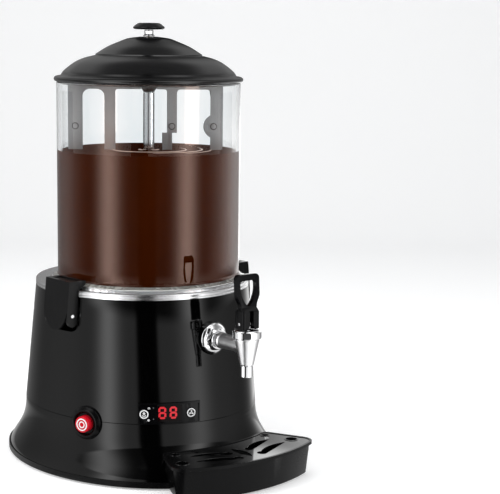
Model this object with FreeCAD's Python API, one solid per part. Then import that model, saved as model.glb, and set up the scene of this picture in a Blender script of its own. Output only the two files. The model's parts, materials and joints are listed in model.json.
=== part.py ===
import FreeCAD, Part
import math
import os

# Hot chocolate dispenser: a heated, stirred clear bowl on a black moulded housing with a
# self-closing tap and a drip tray. Millimetres. +Z is up, -Y is the front (tap and tray), +X is
# to the right seen from the front. The origin is on the table, under the axis of the bowl.

V = FreeCAD.Vector
UP = V(0, 0, 1)
FRONT = V(0, -1, 0)

# ---- heights above the table ----
foot_height = 2.0
base_floor = 3.0
base_top = 8.0
seam_z = 62.3
deck_z = 191.0
deck_height = 6.3
tap_z = 148.3
tray_top = 36.7
tank_depth = 41.5
tap_above_pot = 10.8
bowl_height = 210.8
fill_height = 138.8

# ---- plan sizes, from the bowl outwards ----
bowl_radius = 99.4
bowl_wall = 4.0
foot_flange = 8.4
shelf_side = 7.4
shelf_front = 1.5
shelf_rear = 25.5
lean_side = 7.4
lean_front = 12.6
lean_rear = 20.4
flare_side = 16.8
flare_front = 31.4
flare_rear = 28.6
pot_inset = 8.9
water_gap = 11.0

# ---- walls and fits ----
housing_wall = 3.0
sheet = 1.2
deck_sheet = 1.4
seal_thickness = 2.0
running_fit = 0.06
close_fit = 0.05
sliding_fit = 0.1
button_fit = 0.25
loose_fit = 0.3
slot_fit = 0.5

# ---- share of the flare at each share of the skirt's height ----
skirt_profile = ((0.0, 0.92), (0.166, 0.71), (0.442, 0.29), (0.718, 0.06), (1.0, 0.0))

# ---- what follows from them ----
bowl_inner = bowl_radius - bowl_wall
bowl_foot_radius = bowl_radius + foot_flange
pot_radius = bowl_radius - pot_inset
tank_radius = pot_radius + water_gap
deck_top = deck_z + deck_height
pot_flange_top = deck_top + sheet
bowl_bottom = pot_flange_top + seal_thickness
bowl_top = bowl_bottom + bowl_height
liquid_z = bowl_bottom + fill_height
pot_floor_z = tap_z - tap_above_pot
tank_floor_z = pot_floor_z - tank_depth


def oval_of(side, front, rear):
    """Plan oval as (half width, half depth, shift back) from its three reaches."""
    return (side, (front + rear) / 2.0, (rear - front) / 2.0)


deck_side = bowl_foot_radius + shelf_side
deck_front = bowl_foot_radius + shelf_front
deck_rear = bowl_foot_radius + shelf_rear
deck_oval = oval_of(deck_side, deck_front, deck_rear)
seam_oval = oval_of(deck_side + lean_side, deck_front + lean_front, deck_rear + lean_rear)
base_oval = oval_of(deck_side + lean_side + flare_side,
                    deck_front + lean_front + flare_front,
                    deck_rear + lean_rear + flare_rear)


# ================= helpers =================

def mix(low, high, share):
    return tuple(p + (q - p) * share for p, q in zip(low, high))


def body_oval(z):
    """Outer plan oval of the housing or the skirt at height z."""
    if z >= seam_z:
        return mix(seam_oval, deck_oval, (z - seam_z) / (deck_z - seam_z))
    height = max(0.0, (z - base_top) / (seam_z - base_top))
    for (h0, f0), (h1, f1) in zip(skirt_profile, skirt_profile[1:]):
        if height <= h1:
            flare = f0 + (f1 - f0) * (height - h0) / (h1 - h0)
            break
    return mix(seam_oval, base_oval, flare)


def front_of(z):
    """Distance from the bowl's axis to the body's front at height z."""
    half_width, half_depth, back = body_oval(z)
    return half_depth - back


def oval_wire(oval, z, grow=0.0):
    half_width, half_depth, back = oval
    far = V(0, back + half_depth + grow, z)
    side = V(half_width + grow, back, z)
    edge = Part.Ellipse(far, side, V(0, back, z)).toShape()
    return Part.Wire([edge])


def oval_prism(oval, z0, z1, grow=0.0):
    return Part.Face(oval_wire(oval, z0, grow)).extrude(V(0, 0, z1 - z0))


def oval_ring(oval, z0, z1, outer, inner):
    return oval_prism(oval, z0, z1, outer).cut(oval_prism(oval, z0 - 1, z1 + 1, inner))


def housing_solid(grow=0.0, z0=seam_z, z1=deck_z):
    wires = [oval_wire(body_oval(z), z, grow) for z in (z0, z1)]
    return Part.makeLoft(wires, True, True)


def skirt_solid(grow=0.0):
    wires = []
    for height, flare in skirt_profile:
        z = base_top + height * (seam_z - base_top)
        wires.append(oval_wire(mix(seam_oval, base_oval, flare), z, grow))
    return Part.makeLoft(wires, True, False)


def cylinder(radius, z0, z1, x=0.0, y=0.0):
    return Part.makeCylinder(radius, z1 - z0, V(x, y, z0))


def tube(outer, inner, z0, z1, x=0.0, y=0.0):
    return cylinder(outer, z0, z1, x, y).cut(cylinder(inner, z0 - 1, z1 + 1, x, y))


def block(x0, x1, y0, y1, z0, z1):
    return Part.makeBox(x1 - x0, y1 - y0, z1 - z0, V(x0, y0, z0))


def turned(points, x=0.0, y=0.0):
    """Solid turned about a vertical axis from (radius, height) points."""
    corners = [V(r, 0, z) for r, z in points]
    face = Part.Face(Part.makePolygon(corners + corners[:1]))
    solid = face.revolve(V(0, 0, 0), UP, 360)
    solid.translate(V(x, y, 0))
    return solid


def aimed(solid, point, direction):
    """Move a solid built along +Z to a point, with its +Z along direction."""
    placed = solid.copy()
    placed.Placement = FreeCAD.Placement(point, FreeCAD.Rotation(UP, direction))
    return placed


def hexagon(across, length):
    """Hexagonal prism along +Z from the origin."""
    radius = across / math.sqrt(3.0)
    corners = [V(radius * math.cos(math.radians(60 * k)),
                 radius * math.sin(math.radians(60 * k)), 0) for k in range(7)]
    return Part.Face(Part.makePolygon(corners)).extrude(V(0, 0, length))


def mirrored(solid):
    return solid.mirror(V(0, 0, 0), V(1, 0, 0))


def heading(angle):
    """Level unit vector, angle in degrees from the front towards the right."""
    return V(math.sin(math.radians(angle)), -math.cos(math.radians(angle)), 0)


def wall_place(x, z):
    """Point on the front half of the body at x and z, and the level normal there."""
    half_width, half_depth, back = body_oval(z)
    y = back - half_depth * math.sqrt(1.0 - (x / half_width) ** 2)
    normal = V(x / half_width ** 2, (y - back) / half_depth ** 2, 0)
    return V(x, y, z), normal.normalize()


def join(solids):
    whole = solids[0]
    for solid in solids[1:]:
        whole = whole.fuse(solid)
    return whole


def fuse(solids):
    return join(solids).removeSplitter()


def save(node, solids):
    shape = solids if not isinstance(solids, list) else Part.makeCompound(solids)
    assert shape.isValid(), node
    assert shape.Solids, node
    shape.exportStep("parts/" + node + ".step")


# ================= base, skirt and upper housing =================

foot_radius = 10.0
foot_stem = 4.0
foot_angles = (35.0, 145.0, 215.0, 325.0)
foot_inset = 32.0
base_rim_wall = 3.5
boss_angles = (35.0, 145.0, 215.0, 325.0)
boss_radius = 6.0
boss_top = 46.0
screw_radius = 2.0
vent_count = 7
vent_pitch = 11.0
vent_width = 4.0
vent_length = 50.0
vent_back = 118.0
lip_height = 6.5
lip_wall = 2.0
prong_width = 12.0
prong_thickness = 3.0
prong_spread = 44.0


def on_oval(oval, angle, inset):
    """Point inside a plan oval, at a parameter angle from the front."""
    half_width, half_depth, back = oval
    turn = math.radians(angle)
    x = (half_width - inset) * math.sin(turn)
    y = back - (half_depth - inset) * math.cos(turn)
    return x, y


def foot_places():
    return [on_oval(base_oval, angle, foot_inset) for angle in foot_angles]


def boss_places():
    inner = body_oval(boss_top)
    return [on_oval(inner, angle, housing_wall + boss_radius - 1.5) for angle in boss_angles]


def rubber_feet():
    feet = []
    floor_top = foot_height + base_floor
    for x, y in foot_places():
        foot = turned([(0, 0), (foot_radius - 1.0, 0), (foot_radius, foot_height),
                       (foot_stem, foot_height), (foot_stem, floor_top), (0, floor_top)])
        foot.translate(V(x, y, 0))
        feet.append(foot)
    return feet


def base_plate():
    floor_top = foot_height + base_floor
    plate = oval_prism(base_oval, foot_height, floor_top)
    plate = plate.fuse(oval_ring(base_oval, floor_top, base_top, 0.0, -base_rim_wall))
    for x, y in foot_places():
        plate = plate.cut(cylinder(foot_stem + running_fit, 0, base_top, x, y))
    for x, y in boss_places():
        plate = plate.cut(cylinder(screw_radius + loose_fit, 0, base_top, x, y))
    for k in range(vent_count):
        x = (k - (vent_count - 1) / 2.0) * vent_pitch
        slot = block(x - vent_width / 2, x + vent_width / 2, vent_back - vent_length, vent_back,
                     0, base_top)
        plate = plate.cut(slot)
    return plate.cut(fuse(prong_slots())).removeSplitter()


def prong_slots():
    """Slots in the front of the base that hold the tray's two prongs."""
    low = foot_height + base_floor
    half = prong_width / 2 + slot_fit
    slots = []
    for side in (-1, 1):
        x = side * prong_spread
        slots.append(block(x - half, x + half, -front_of(base_top) - 20, -front_of(base_top) + 40,
                           low, base_top + 3.0))
    return slots


def skirt_bosses():
    floor_top = foot_height + base_floor
    bosses = []
    for x, y in boss_places():
        bosses.append(cylinder(boss_radius, floor_top, boss_top, x, y))
    return bosses


def seam_lip():
    """Lip on the skirt that the upper housing slides over."""
    gap = 0.25
    web = oval_ring(seam_oval, seam_z - lip_height, seam_z,
                    -housing_wall + 0.5, -housing_wall - gap - lip_wall)
    inner = mix(seam_oval, deck_oval, lip_height / (deck_z - seam_z))
    lip = oval_ring(inner, seam_z, seam_z + lip_height,
                    -housing_wall - gap, -housing_wall - gap - lip_wall)
    return web.fuse(lip)


gland_z = 30.0
gland_radius = 8.8
gland_bore = 3.6
gland_pad = 13.0


def rear_of(z):
    half_width, half_depth, back = body_oval(z)
    return half_depth + back


def lower_skirt():
    shell = skirt_solid().cut(skirt_solid(-housing_wall))
    pad_face = rear_of(gland_z) + 6.0
    pad = aimed(Part.makeCylinder(gland_pad, 18.0), V(0, pad_face - 18.0, gland_z), V(0, 1, 0))
    pocket = aimed(Part.makeCylinder(gland_pad + 0.5, 30.0), V(0, pad_face, gland_z), V(0, 1, 0))
    bore = aimed(Part.makeCylinder(gland_radius + running_fit, 60.0),
                 V(0, pad_face - 40, gland_z), V(0, 1, 0))
    pad = pad.common(skirt_solid())
    shell = join([shell, seam_lip(), pad] + skirt_bosses()).cut(pocket).cut(bore)
    for x, y in boss_places():
        shell = shell.cut(cylinder(screw_radius + running_fit, 0, boss_top - 8, x, y))
    shell = shell.cut(display_opening(slot_fit))
    return shell.cut(switch_opening()).cut(fuse(prong_slots()))


def cord_gland():
    """Strain relief bush at the back, with a hexagonal nut outside."""
    face = rear_of(gland_z) + 6.0
    body = Part.makeCylinder(gland_radius, 26.0, V(0, 0, -22.0))
    nut = hexagon(2 * gland_radius + 5.0, 6.0)
    dome = Part.makeCone(gland_radius - 0.5, gland_radius - 3.0, 4.0, V(0, 0, 6.0))
    bore = Part.makeCylinder(gland_bore, 60.0, V(0, 0, -30.0))
    return aimed(fuse([body, nut, dome]).cut(bore), V(0, face, gland_z), V(0, 1, 0))


# ---- recess for the side clips, and its lug ----
clip_back = -4.0
clip_half = 22.5
clip_pocket_x = 0.4
clip_margin = 2.5
pocket_depth = 38.0
pocket_wall = 2.4
clip_pin_drop = 20.0
clip_pin_radius = 1.8
clip_pin_out = 1.8
lug_half = 14.0
lug_radius = 4.0
pocket_low = deck_z - pocket_depth
clip_pin_z = deck_z - clip_pin_drop


def clip_pin_x():
    return deck_side + clip_pin_out


def pocket_floor_x():
    return bowl_foot_radius + clip_pocket_x


def clip_pocket(grow=0.0):
    """Right-hand recess for a clip, with round lower corners."""
    half = clip_half + clip_margin + grow
    low = pocket_low - grow
    radius = 12.0
    x0 = pocket_floor_x() - grow
    corner_z = low + radius
    path = [Part.makeLine(V(x0, clip_back - half, deck_z), V(x0, clip_back - half, corner_z)),
            Part.Arc(V(x0, clip_back - half, corner_z),
                     V(x0, clip_back - half + radius * (1 - math.sqrt(0.5)),
                       corner_z - radius * math.sqrt(0.5)),
                     V(x0, clip_back - half + radius, low)).toShape(),
            Part.makeLine(V(x0, clip_back - half + radius, low),
                          V(x0, clip_back + half - radius, low)),
            Part.Arc(V(x0, clip_back + half - radius, low),
                     V(x0, clip_back + half - radius * (1 - math.sqrt(0.5)),
                       corner_z - radius * math.sqrt(0.5)),
                     V(x0, clip_back + half, corner_z)).toShape(),
            Part.makeLine(V(x0, clip_back + half, corner_z), V(x0, clip_back + half, deck_z)),
            Part.makeLine(V(x0, clip_back + half, deck_z), V(x0, clip_back - half, deck_z))]
    return Part.Face(Part.Wire(path)).extrude(V(40, 0, 0))


def clip_lug():
    """Lug in the right-hand recess that carries the clip's pin."""
    x0 = pocket_floor_x() - 1.0
    x1 = clip_pin_x()
    y0 = clip_back - lug_half
    y1 = clip_back + lug_half
    arm = block(x0, x1, y0, y1, clip_pin_z - lug_radius, clip_pin_z + lug_radius)
    end = aimed(Part.makeCylinder(lug_radius, y1 - y0), V(x1, y0, clip_pin_z), V(0, 1, 0))
    bore = aimed(Part.makeCylinder(clip_pin_radius + running_fit, 80),
                 V(x1, clip_back - 40, clip_pin_z), V(0, 1, 0))
    return fuse([arm, end]).cut(bore)


tap_pad_radius = 17.6


def tap_face():
    """Distance from the bowl's axis to the flat pad behind the tap."""
    return front_of(tap_z - tap_pad_radius) + 0.4


def upper_housing():
    outer = housing_solid()
    inner = housing_solid(-housing_wall, seam_z, deck_z)
    shell = outer.cut(inner)
    top = oval_prism(deck_oval, deck_z - 4.0, deck_z, -1.0)
    top = top.cut(cylinder(tank_radius + 1.5, deck_z - 10, deck_z + 10))
    recess = clip_pocket()
    liner = clip_pocket(pocket_wall).common(outer)
    both_recesses = recess.fuse(mirrored(recess))
    pad = aimed(Part.makeCylinder(tap_pad_radius, 8.0), V(0, -tap_face() + 8.0, tap_z), FRONT)
    shell = fuse([shell, top, liner, mirrored(liner)]).cut(both_recesses)
    lug = clip_lug()
    shell = fuse([shell, lug, mirrored(lug), pad])
    shank_hole = aimed(Part.makeCylinder(shank_radius + loose_fit, 60),
                       V(0, -tap_face() + 40, tap_z), FRONT)
    groove = oval_ring(seam_oval, seam_z, seam_z + 0.6, 5.0, -0.6)
    shell = shell.cut(shank_hole).cut(groove).cut(switch_opening())
    return shell.cut(display_opening()).removeSplitter()


# ================= steel deck, pot and water tank =================

shank_radius = 8.0
column_radius = 6.5
column_wall = 1.0
shaft_radius = 4.5
heater_ring = 62.0
heater_radius = 4.2
heater_rise = 14.0
heater_gap_angle = 26.0
probe_x = -28.0
probe_y = 36.0
cutout_x = 44.0
cutout_y = 40.0


def deck():
    """Steel top deck: a pressed oval tray, open side down, with the pot's hole."""
    solid = oval_prism(deck_oval, deck_z, deck_top)
    solid = solid.cut(oval_prism(deck_oval, deck_z - 1, deck_top - deck_sheet, -deck_sheet))
    solid = solid.cut(cylinder(pot_radius + loose_fit, deck_z - 5, deck_top + 5))
    rim = [e for e in solid.Edges
           if abs(e.BoundBox.ZMin - deck_top) < 1e-6 and abs(e.BoundBox.ZMax - deck_top) < 1e-6
           and e.BoundBox.XMax > pot_radius + 10]
    return solid.makeFillet(deck_sheet * 0.9, rim)


def inner_pot():
    """Pot with a hanging flange, open at the top."""
    flange_radius = bowl_foot_radius - 4.2
    pot = turned([(0, pot_floor_z - sheet), (pot_radius, pot_floor_z - sheet),
                  (pot_radius, deck_top), (flange_radius, deck_top),
                  (flange_radius, pot_flange_top), (pot_radius - sheet, pot_flange_top),
                  (pot_radius - sheet, pot_floor_z), (0, pot_floor_z)])
    pot = pot.cut(cylinder(column_radius + close_fit, pot_floor_z - 10, pot_floor_z + 10))
    hole = aimed(Part.makeCylinder(shank_radius + close_fit, 40), V(0, -pot_radius + 20, tap_z), FRONT)
    return pot.cut(hole)


def pot_gasket():
    return tube(bowl_foot_radius - 5.0, bowl_inner - 3.4, pot_flange_top, bowl_bottom)


def water_tank():
    """Water bath around the pot, welded under the deck."""
    low = tank_floor_z - sheet
    tank = cylinder(tank_radius, low, deck_top - deck_sheet)
    tank = tank.cut(cylinder(tank_radius - sheet, tank_floor_z, deck_top))
    holes = [cylinder(column_radius + close_fit, low - 5, tank_floor_z + 5)]
    for x, y in heater_leg_places():
        holes.append(cylinder(heater_radius + sliding_fit, low - 5, tank_floor_z + 5, x, y))
    holes.append(cylinder(probe_radius + sliding_fit, low - 5, tank_floor_z + 5, probe_x, probe_y))
    holes.append(aimed(Part.makeCylinder(shank_radius + close_fit, 30),
                       V(0, -tank_radius + 15, tap_z), FRONT))
    for hole in holes:
        tank = tank.cut(hole)
    return tank


probe_radius = 3.0


def heater_leg_places():
    half = math.radians(heater_gap_angle / 2.0)
    return [(heater_ring * math.cos(half), side * heater_ring * math.sin(half))
            for side in (-1, 1)]


def heating_element():
    """Ring heater with two legs through the floor of the tank."""
    ring = Part.makeTorus(heater_ring, heater_radius, V(0, 0, 0), UP, -180, 180,
                          360.0 - heater_gap_angle)
    ring.rotate(V(0, 0, 0), UP, heater_gap_angle / 2.0)
    ring.translate(V(0, 0, tank_floor_z + heater_rise))
    pieces = [ring]
    for x, y in heater_leg_places():
        pieces.append(cylinder(heater_radius, tank_floor_z - 14, tank_floor_z + heater_rise + 3.0, x, y))
    return fuse(pieces)


def heater_nuts():
    nuts = []
    for x, y in heater_leg_places():
        nut = hexagon(3 * heater_radius, 4.0).cut(cylinder(heater_radius + sliding_fit, -5, 10))
        nut.translate(V(x, y, tank_floor_z - sheet - 4.0))
        nuts.append(nut)
    return nuts


def thermal_cutout():
    """Button thermostat clipped under the tank, with two blade terminals."""
    top = tank_floor_z - sheet
    can = cylinder(8.0, top - 7, top, cutout_x, cutout_y)
    blades = [block(cutout_x + dx - 3, cutout_x + dx + 3, cutout_y - 0.4, cutout_y + 0.4,
                    top - 15, top - 6) for dx in (-4.5, 4.5)]
    return fuse([can] + blades)


def water_probe():
    """Temperature probe in the water bath, with its hexagon under the floor."""
    low = tank_floor_z - sheet
    rod = cylinder(probe_radius, low - 12, pot_floor_z - 8, probe_x, probe_y)
    nut = hexagon(12.0, 6.0)
    nut.translate(V(probe_x, probe_y, low - 6.0))
    return fuse([rod, nut])


# ================= bowl and lid =================

lid_skin = 2.5
lid_foot_rise = 8.3
lid_flange_height = 6.6
step_ledge = 1.0
crown_rise = 0.2
lid_low_bulge = (3.9, 4.0)
lid_top_bulge = (1.2, 4.2)
shank_hole_radius = 2.6
lid_lip_depth = 1.9
lid_flange_reach = 2.9
lid_foot_reach = 4.9
step_radius = 58.0
step_rise = 28.8
dome_rise = 49.0
knob_radius = 17.2
knob_top_radius = 10.7
stem_radius = 5.5
stem_height = 7.4
knob_height = 7.2


def bowl():
    """Clear cylinder with a bevelled foot flange that shrouds the gasket."""
    lip = deck_top + loose_fit
    inner_lip = bowl_foot_radius - 3.8
    return turned([(bowl_inner, bowl_bottom), (inner_lip, bowl_bottom), (inner_lip, lip),
                   (bowl_foot_radius, lip), (bowl_foot_radius, lip + 1.8),
                   (bowl_radius + 2.1, lip + 5.8), (bowl_radius, lip + 7.8),
                   (bowl_radius, bowl_top), (bowl_inner, bowl_top)])


def arc_edge(start, middle, end):
    return Part.Arc(V(start[0], 0, start[1]), V(middle[0], 0, middle[1]),
                    V(end[0], 0, end[1])).toShape()


def line_edge(start, end):
    return Part.makeLine(V(start[0], 0, start[1]), V(end[0], 0, end[1]))


def bulged(start, end, bulge):
    """Middle of the line from start to end, moved out by the bulge (across, up)."""
    return (0.5 * (start[0] + end[0]) + bulge[0], 0.5 * (start[1] + end[1]) + bulge[1])


def lid_shell():
    """Lid with a rolled flange and a dome in two steps."""
    z = bowl_top
    foot = (bowl_radius - lid_foot_reach, z + lid_foot_rise)
    step = (step_radius + step_ledge / 2.0, z + step_rise)
    ledge = (step_radius - step_ledge / 2.0, z + step_rise + step_ledge)
    crown = (stem_radius + 4.0, z + dome_rise)
    centre = (shank_hole_radius, z + dome_rise + crown_rise)
    low_mid = bulged(foot, step, lid_low_bulge)
    top_mid = bulged(ledge, crown, lid_top_bulge)
    flange = bowl_radius + lid_flange_reach
    neck = (foot[0] + 1.0, z + lid_flange_height)
    shoulder = (flange - 0.6, z + lid_flange_height - 0.8)
    roll = (flange - 1.0, z + 1.2)
    seat = (bowl_radius - 0.2, z)
    lip = bowl_inner - loose_fit
    lip_low = z - lid_lip_depth
    t = lid_skin
    foot_in = (foot[0] - t, foot[1])
    step_in = (step[0] - 0.5 * t, step[1] - t)
    ledge_in = (ledge[0] - 0.7 * t, ledge[1] - 0.9 * t)
    crown_in = (crown[0], crown[1] - t)
    outline = [line_edge(centre, crown),
               arc_edge(crown, top_mid, ledge),
               line_edge(ledge, step),
               arc_edge(step, low_mid, foot),
               line_edge(foot, neck),
               arc_edge(neck, (flange - 2.4, z + lid_flange_height + 0.3), shoulder),
               arc_edge(shoulder, (flange, z + 3.2), roll),
               line_edge(roll, seat),
               line_edge(seat, (lip, z)),
               line_edge((lip, z), (lip, lip_low)),
               line_edge((lip, lip_low), (bowl_inner - t, lip_low)),
               line_edge((bowl_inner - t, lip_low), foot_in),
               arc_edge(foot_in, (low_mid[0] - 0.7 * t, low_mid[1] - 0.8 * t), step_in),
               line_edge(step_in, ledge_in),
               arc_edge(ledge_in, (top_mid[0] - 0.4 * t, top_mid[1] - 0.9 * t), crown_in),
               line_edge(crown_in, (centre[0], crown_in[1])),
               line_edge((centre[0], crown_in[1]), centre)]
    face = Part.Face(Part.Wire(outline))
    return face.revolve(V(0, 0, 0), UP, 360)


def knob_stem():
    low = bowl_top + dome_rise + 0.2
    return turned([(0, low - 9.0), (shank_hole_radius - sliding_fit, low - 9.0),
                   (shank_hole_radius - sliding_fit, low), (stem_radius, low),
                   (stem_radius, low + stem_height), (0, low + stem_height)])


def knob_nut():
    nut = hexagon(9.0, 3.2).cut(cylinder(shank_hole_radius - close_fit, -5, 10))
    nut.translate(V(0, 0, bowl_top + dome_rise - lid_skin - 3.2))
    return nut


def lid_knob():
    """Mushroom knob with a flat top."""
    low = bowl_top + dome_rise + 0.2 + stem_height
    edge = low + 2.3
    return turned([(0, low), (knob_radius - 2.2, low), (knob_radius - 0.5, low + 0.8),
                   (knob_radius, edge), (knob_radius - 0.5, edge + 1.2),
                   (knob_top_radius + 2.5, low + knob_height - 0.9),
                   (knob_top_radius, low + knob_height), (0, low + knob_height)])


# ================= agitator and its drive =================

blade_turn = -35.8
blade_thickness = 2.0
blade_nut_gap = 2.0
blade_bar = 8.0
blade_bar_top = 5.2
hub_radius = 8.5
hub_low_radius = 6.3
column_drop = 10.7
sleeve_radius = 11.0
sleeve_length = 14.0
gearbox_radius = 38.0
gearbox_low = 40.0
gearbox_top = 66.0
motor_radius = 29.0
motor_low = 9.0
bracket_thickness = 3.0
bracket_half = 48.0
post_offset = 40.0
post_radius = 5.0
motor_shaft_radius = 4.0
coupling_radius = 9.0
column_seal_radius = 13.0
column_below_tank = 8.0
column_seal_height = 2.0
column_top = bowl_top - column_drop
column_low = tank_floor_z - column_below_tank

# window edges as distances from the axis, left wing negative
left_outer = -(bowl_inner - 7.8)
left_window = (-71.7, -48.1)
left_inner = -36.2
right_inner = 19.6
right_window = (30.5, 66.9)
right_outer = bowl_inner - 14.9
bulge_drop = 47.3
bulge_pitch = 52.0
bulge_count = 4
bulge_depth = 7.6
jog = 5.2
bulge_z = bowl_top - bulge_drop


def blade_low():
    """Lowest edge of the frame: it passes over the lock nut of the tap."""
    nut_reach = max(seal_radius, locknut_across / math.sqrt(3.0))
    return tap_z + nut_reach + blade_nut_gap


def blade_top():
    """Highest edge of the frame: it passes under the lip of the lid."""
    return bowl_top - lid_lip_depth - loose_fit


def window(x0, x1, z0, z1, radius):
    """Blade window with round corners, as a cutting prism across the blade."""
    solid = block(x0, x1, -10, 10, z0, z1)
    corners = [e for e in solid.Edges if abs(e.BoundBox.YMax - e.BoundBox.YMin) > 10]
    return solid.makeFillet(radius, corners)


def wing(x0, x1, opening, radius):
    """One wing of the stirring frame, flat in the XZ plane, with its window."""
    half = blade_thickness / 2.0
    plate = block(x0, x1, -half, half, blade_low(), blade_top())
    return plate.cut(window(opening[0], opening[1], blade_low() + blade_bar,
                            blade_top() - blade_bar_top, radius))


def middle_opening(half):
    return window(-half, half, blade_low() + blade_bar, blade_top() - blade_bar_top, 3.0)


def boss_on_blade(x, z):
    half = blade_thickness / 2.0
    return aimed(Part.makeCylinder(3.2, blade_thickness + 1.2), V(x, -half - 0.6, z), V(0, 1, 0))


def fitted_wing(plate):
    """Cut a wing to the hub and the sleeve, and turn it to its angle."""
    plate = plate.cut(cylinder(hub_radius, blade_top() - blade_bar_top - 5, blade_top() + 5))
    plate = plate.cut(cylinder(sleeve_radius, blade_low() - 5, blade_low() + blade_bar + 8))
    plate.rotate(V(0, 0, 0), UP, blade_turn)
    return plate.removeSplitter()


def left_blade():
    """Plain wing: a frame with one tall window."""
    plate = wing(left_outer, 0, left_window, 8.0).cut(middle_opening(-left_inner))
    return fitted_wing(plate.fuse(boss_on_blade(0.5 * (left_outer + left_window[0]), bulge_z)))


def right_blade():
    """Wing whose outer strip is scalloped inwards and whose inner strip steps at a rivet."""
    half = blade_thickness / 2.0
    low_edge = blade_low() + blade_bar
    plate = wing(0, right_outer, right_window, 4.0).cut(middle_opening(right_inner))
    strip = block(0, right_outer, -half, half, blade_low(), blade_top())
    lobe_radius = 13.0
    for k in range(bulge_count):
        lobe = aimed(Part.makeCylinder(lobe_radius, blade_thickness),
                     V(right_window[1] - bulge_depth + lobe_radius, -half,
                       bulge_z - k * bulge_pitch), V(0, 1, 0))
        plate = plate.fuse(lobe.common(strip))
    step_top = bulge_z - 7.0
    plate = plate.fuse(block(right_inner - jog, right_inner + 1, -half, half,
                             blade_low(), step_top))
    plate = plate.cut(block(right_window[0] - jog, right_window[0] + 1, -10, 10, low_edge, step_top))
    for x in (0.5 * (right_inner + right_window[0]), right_window[1] + 3.5):
        plate = plate.fuse(boss_on_blade(x, bulge_z))
    return fitted_wing(plate)


def hub():
    """Cap nut that carries the frame on the end of the shaft."""
    top = bowl_top + 1.5
    bore = shaft_radius + 0.02
    return turned([(bore, column_top + 0.5), (hub_low_radius, column_top + 0.5),
                   (hub_radius, column_top + 3.4), (hub_radius, top - 2.5), (hub_radius - 2, top),
                   (0, top), (0, top - 4), (bore, top - 4)])


def lower_sleeve():
    """Plastic bush that keeps the foot of the frame on the column."""
    low = blade_low() - 1.0
    return tube(sleeve_radius, column_radius + running_fit, low, low + sleeve_length)


def drive_shaft():
    return cylinder(shaft_radius, gearbox_top + 12.5, bowl_top - 2.5)


def shaft_coupling():
    low = gearbox_top + 4.0
    solid = cylinder(coupling_radius, low, low + 16.0)
    solid = solid.cut(cylinder(motor_shaft_radius + 0.02, low - 1, gearbox_top + 12.2))
    solid = solid.cut(cylinder(shaft_radius + 0.02, gearbox_top + 12.2, low + 20))
    return solid


def motor_shaft():
    return cylinder(motor_shaft_radius, gearbox_top + 0.3, gearbox_top + 12.0)


def column_tube():
    return tube(column_radius, column_radius - column_wall, column_low, column_top)


def column_bushes():
    outer = column_radius - column_wall - 0.02
    inner = shaft_radius + running_fit
    return [tube(outer, inner, column_low, column_low + 12),
            tube(outer, inner, column_top - 12, column_top)]


def column_nut():
    nut = hexagon(22.0, 6.0).cut(cylinder(column_radius + close_fit, -5, 10))
    nut.translate(V(0, 0, tank_floor_z - sheet - 6.0))
    return nut


def column_seal():
    return tube(column_seal_radius, column_radius + close_fit, pot_floor_z, pot_floor_z + column_seal_height)


def gearbox():
    case = cylinder(gearbox_radius, gearbox_low, gearbox_top)
    for x, y in gearbox_screw_places():
        case = case.cut(cylinder(screw_radius + close_fit, gearbox_top - 10, gearbox_top + 1, x, y))
    rim = [e for e in case.Edges if abs(e.BoundBox.ZMax - gearbox_low) < 1e-6]
    return case.makeFillet(3.0, rim)


def motor_can():
    can = cylinder(motor_radius, motor_low, gearbox_low)
    rim = [e for e in can.Edges if abs(e.BoundBox.ZMax - motor_low) < 1e-6]
    return can.makeFillet(3.0, rim)


def gearbox_screw_places():
    reach = gearbox_radius - 9.0
    return [(reach * math.cos(math.radians(a)), reach * math.sin(math.radians(a)))
            for a in (45, 135, 225, 315)]


def post_places():
    return [(sx * post_offset, sy * post_offset) for sx in (-1, 1) for sy in (-1, 1)]


def motor_bracket():
    """Plate on four posts that stands on the base and carries the gearbox."""
    low = gearbox_top
    plate = block(-bracket_half, bracket_half, -bracket_half, bracket_half,
                  low, low + bracket_thickness)
    corners = [e for e in plate.Edges if abs(e.BoundBox.ZMax - e.BoundBox.ZMin) > 1]
    plate = plate.makeFillet(6.0, corners).cut(cylinder(14.0, low - 1, low + 10))
    for x, y in gearbox_screw_places():
        plate = plate.cut(cylinder(screw_radius + loose_fit, low - 1, low + 10, x, y))
    posts = [cylinder(post_radius, foot_height + base_floor, low, x, y) for x, y in post_places()]
    return fuse([plate] + posts)


def hot_chocolate():
    """The drink, from the pot's floor to its level, turning with the frame."""
    gap = loose_fit
    wide = bowl_inner - gap
    narrow = pot_radius - sheet - gap
    neck = bowl_bottom - gap
    inside_nut = tap_inner_end() - gap
    above_nut = tap_z + seal_radius + gap
    drink = turned([(column_radius + gap, pot_floor_z + gap), (inside_nut, pot_floor_z + gap),
                    (inside_nut, above_nut), (narrow, above_nut),
                    (narrow, neck + 1.0), (wide, neck + 2 * gap), (wide, liquid_z),
                    (column_radius + gap, liquid_z)])
    sleeve_low = blade_low() - 1.0
    drink = drink.cut(cylinder(sleeve_radius + sliding_fit, sleeve_low - sliding_fit,
                               sleeve_low + sleeve_length + sliding_fit))
    drink = drink.cut(cylinder(column_seal_radius + gap, pot_floor_z,
                               pot_floor_z + column_seal_height + gap))
    for wing in (left_blade(), right_blade()):
        drink = drink.cut(wing)
    return drink


# ================= tap =================

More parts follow.
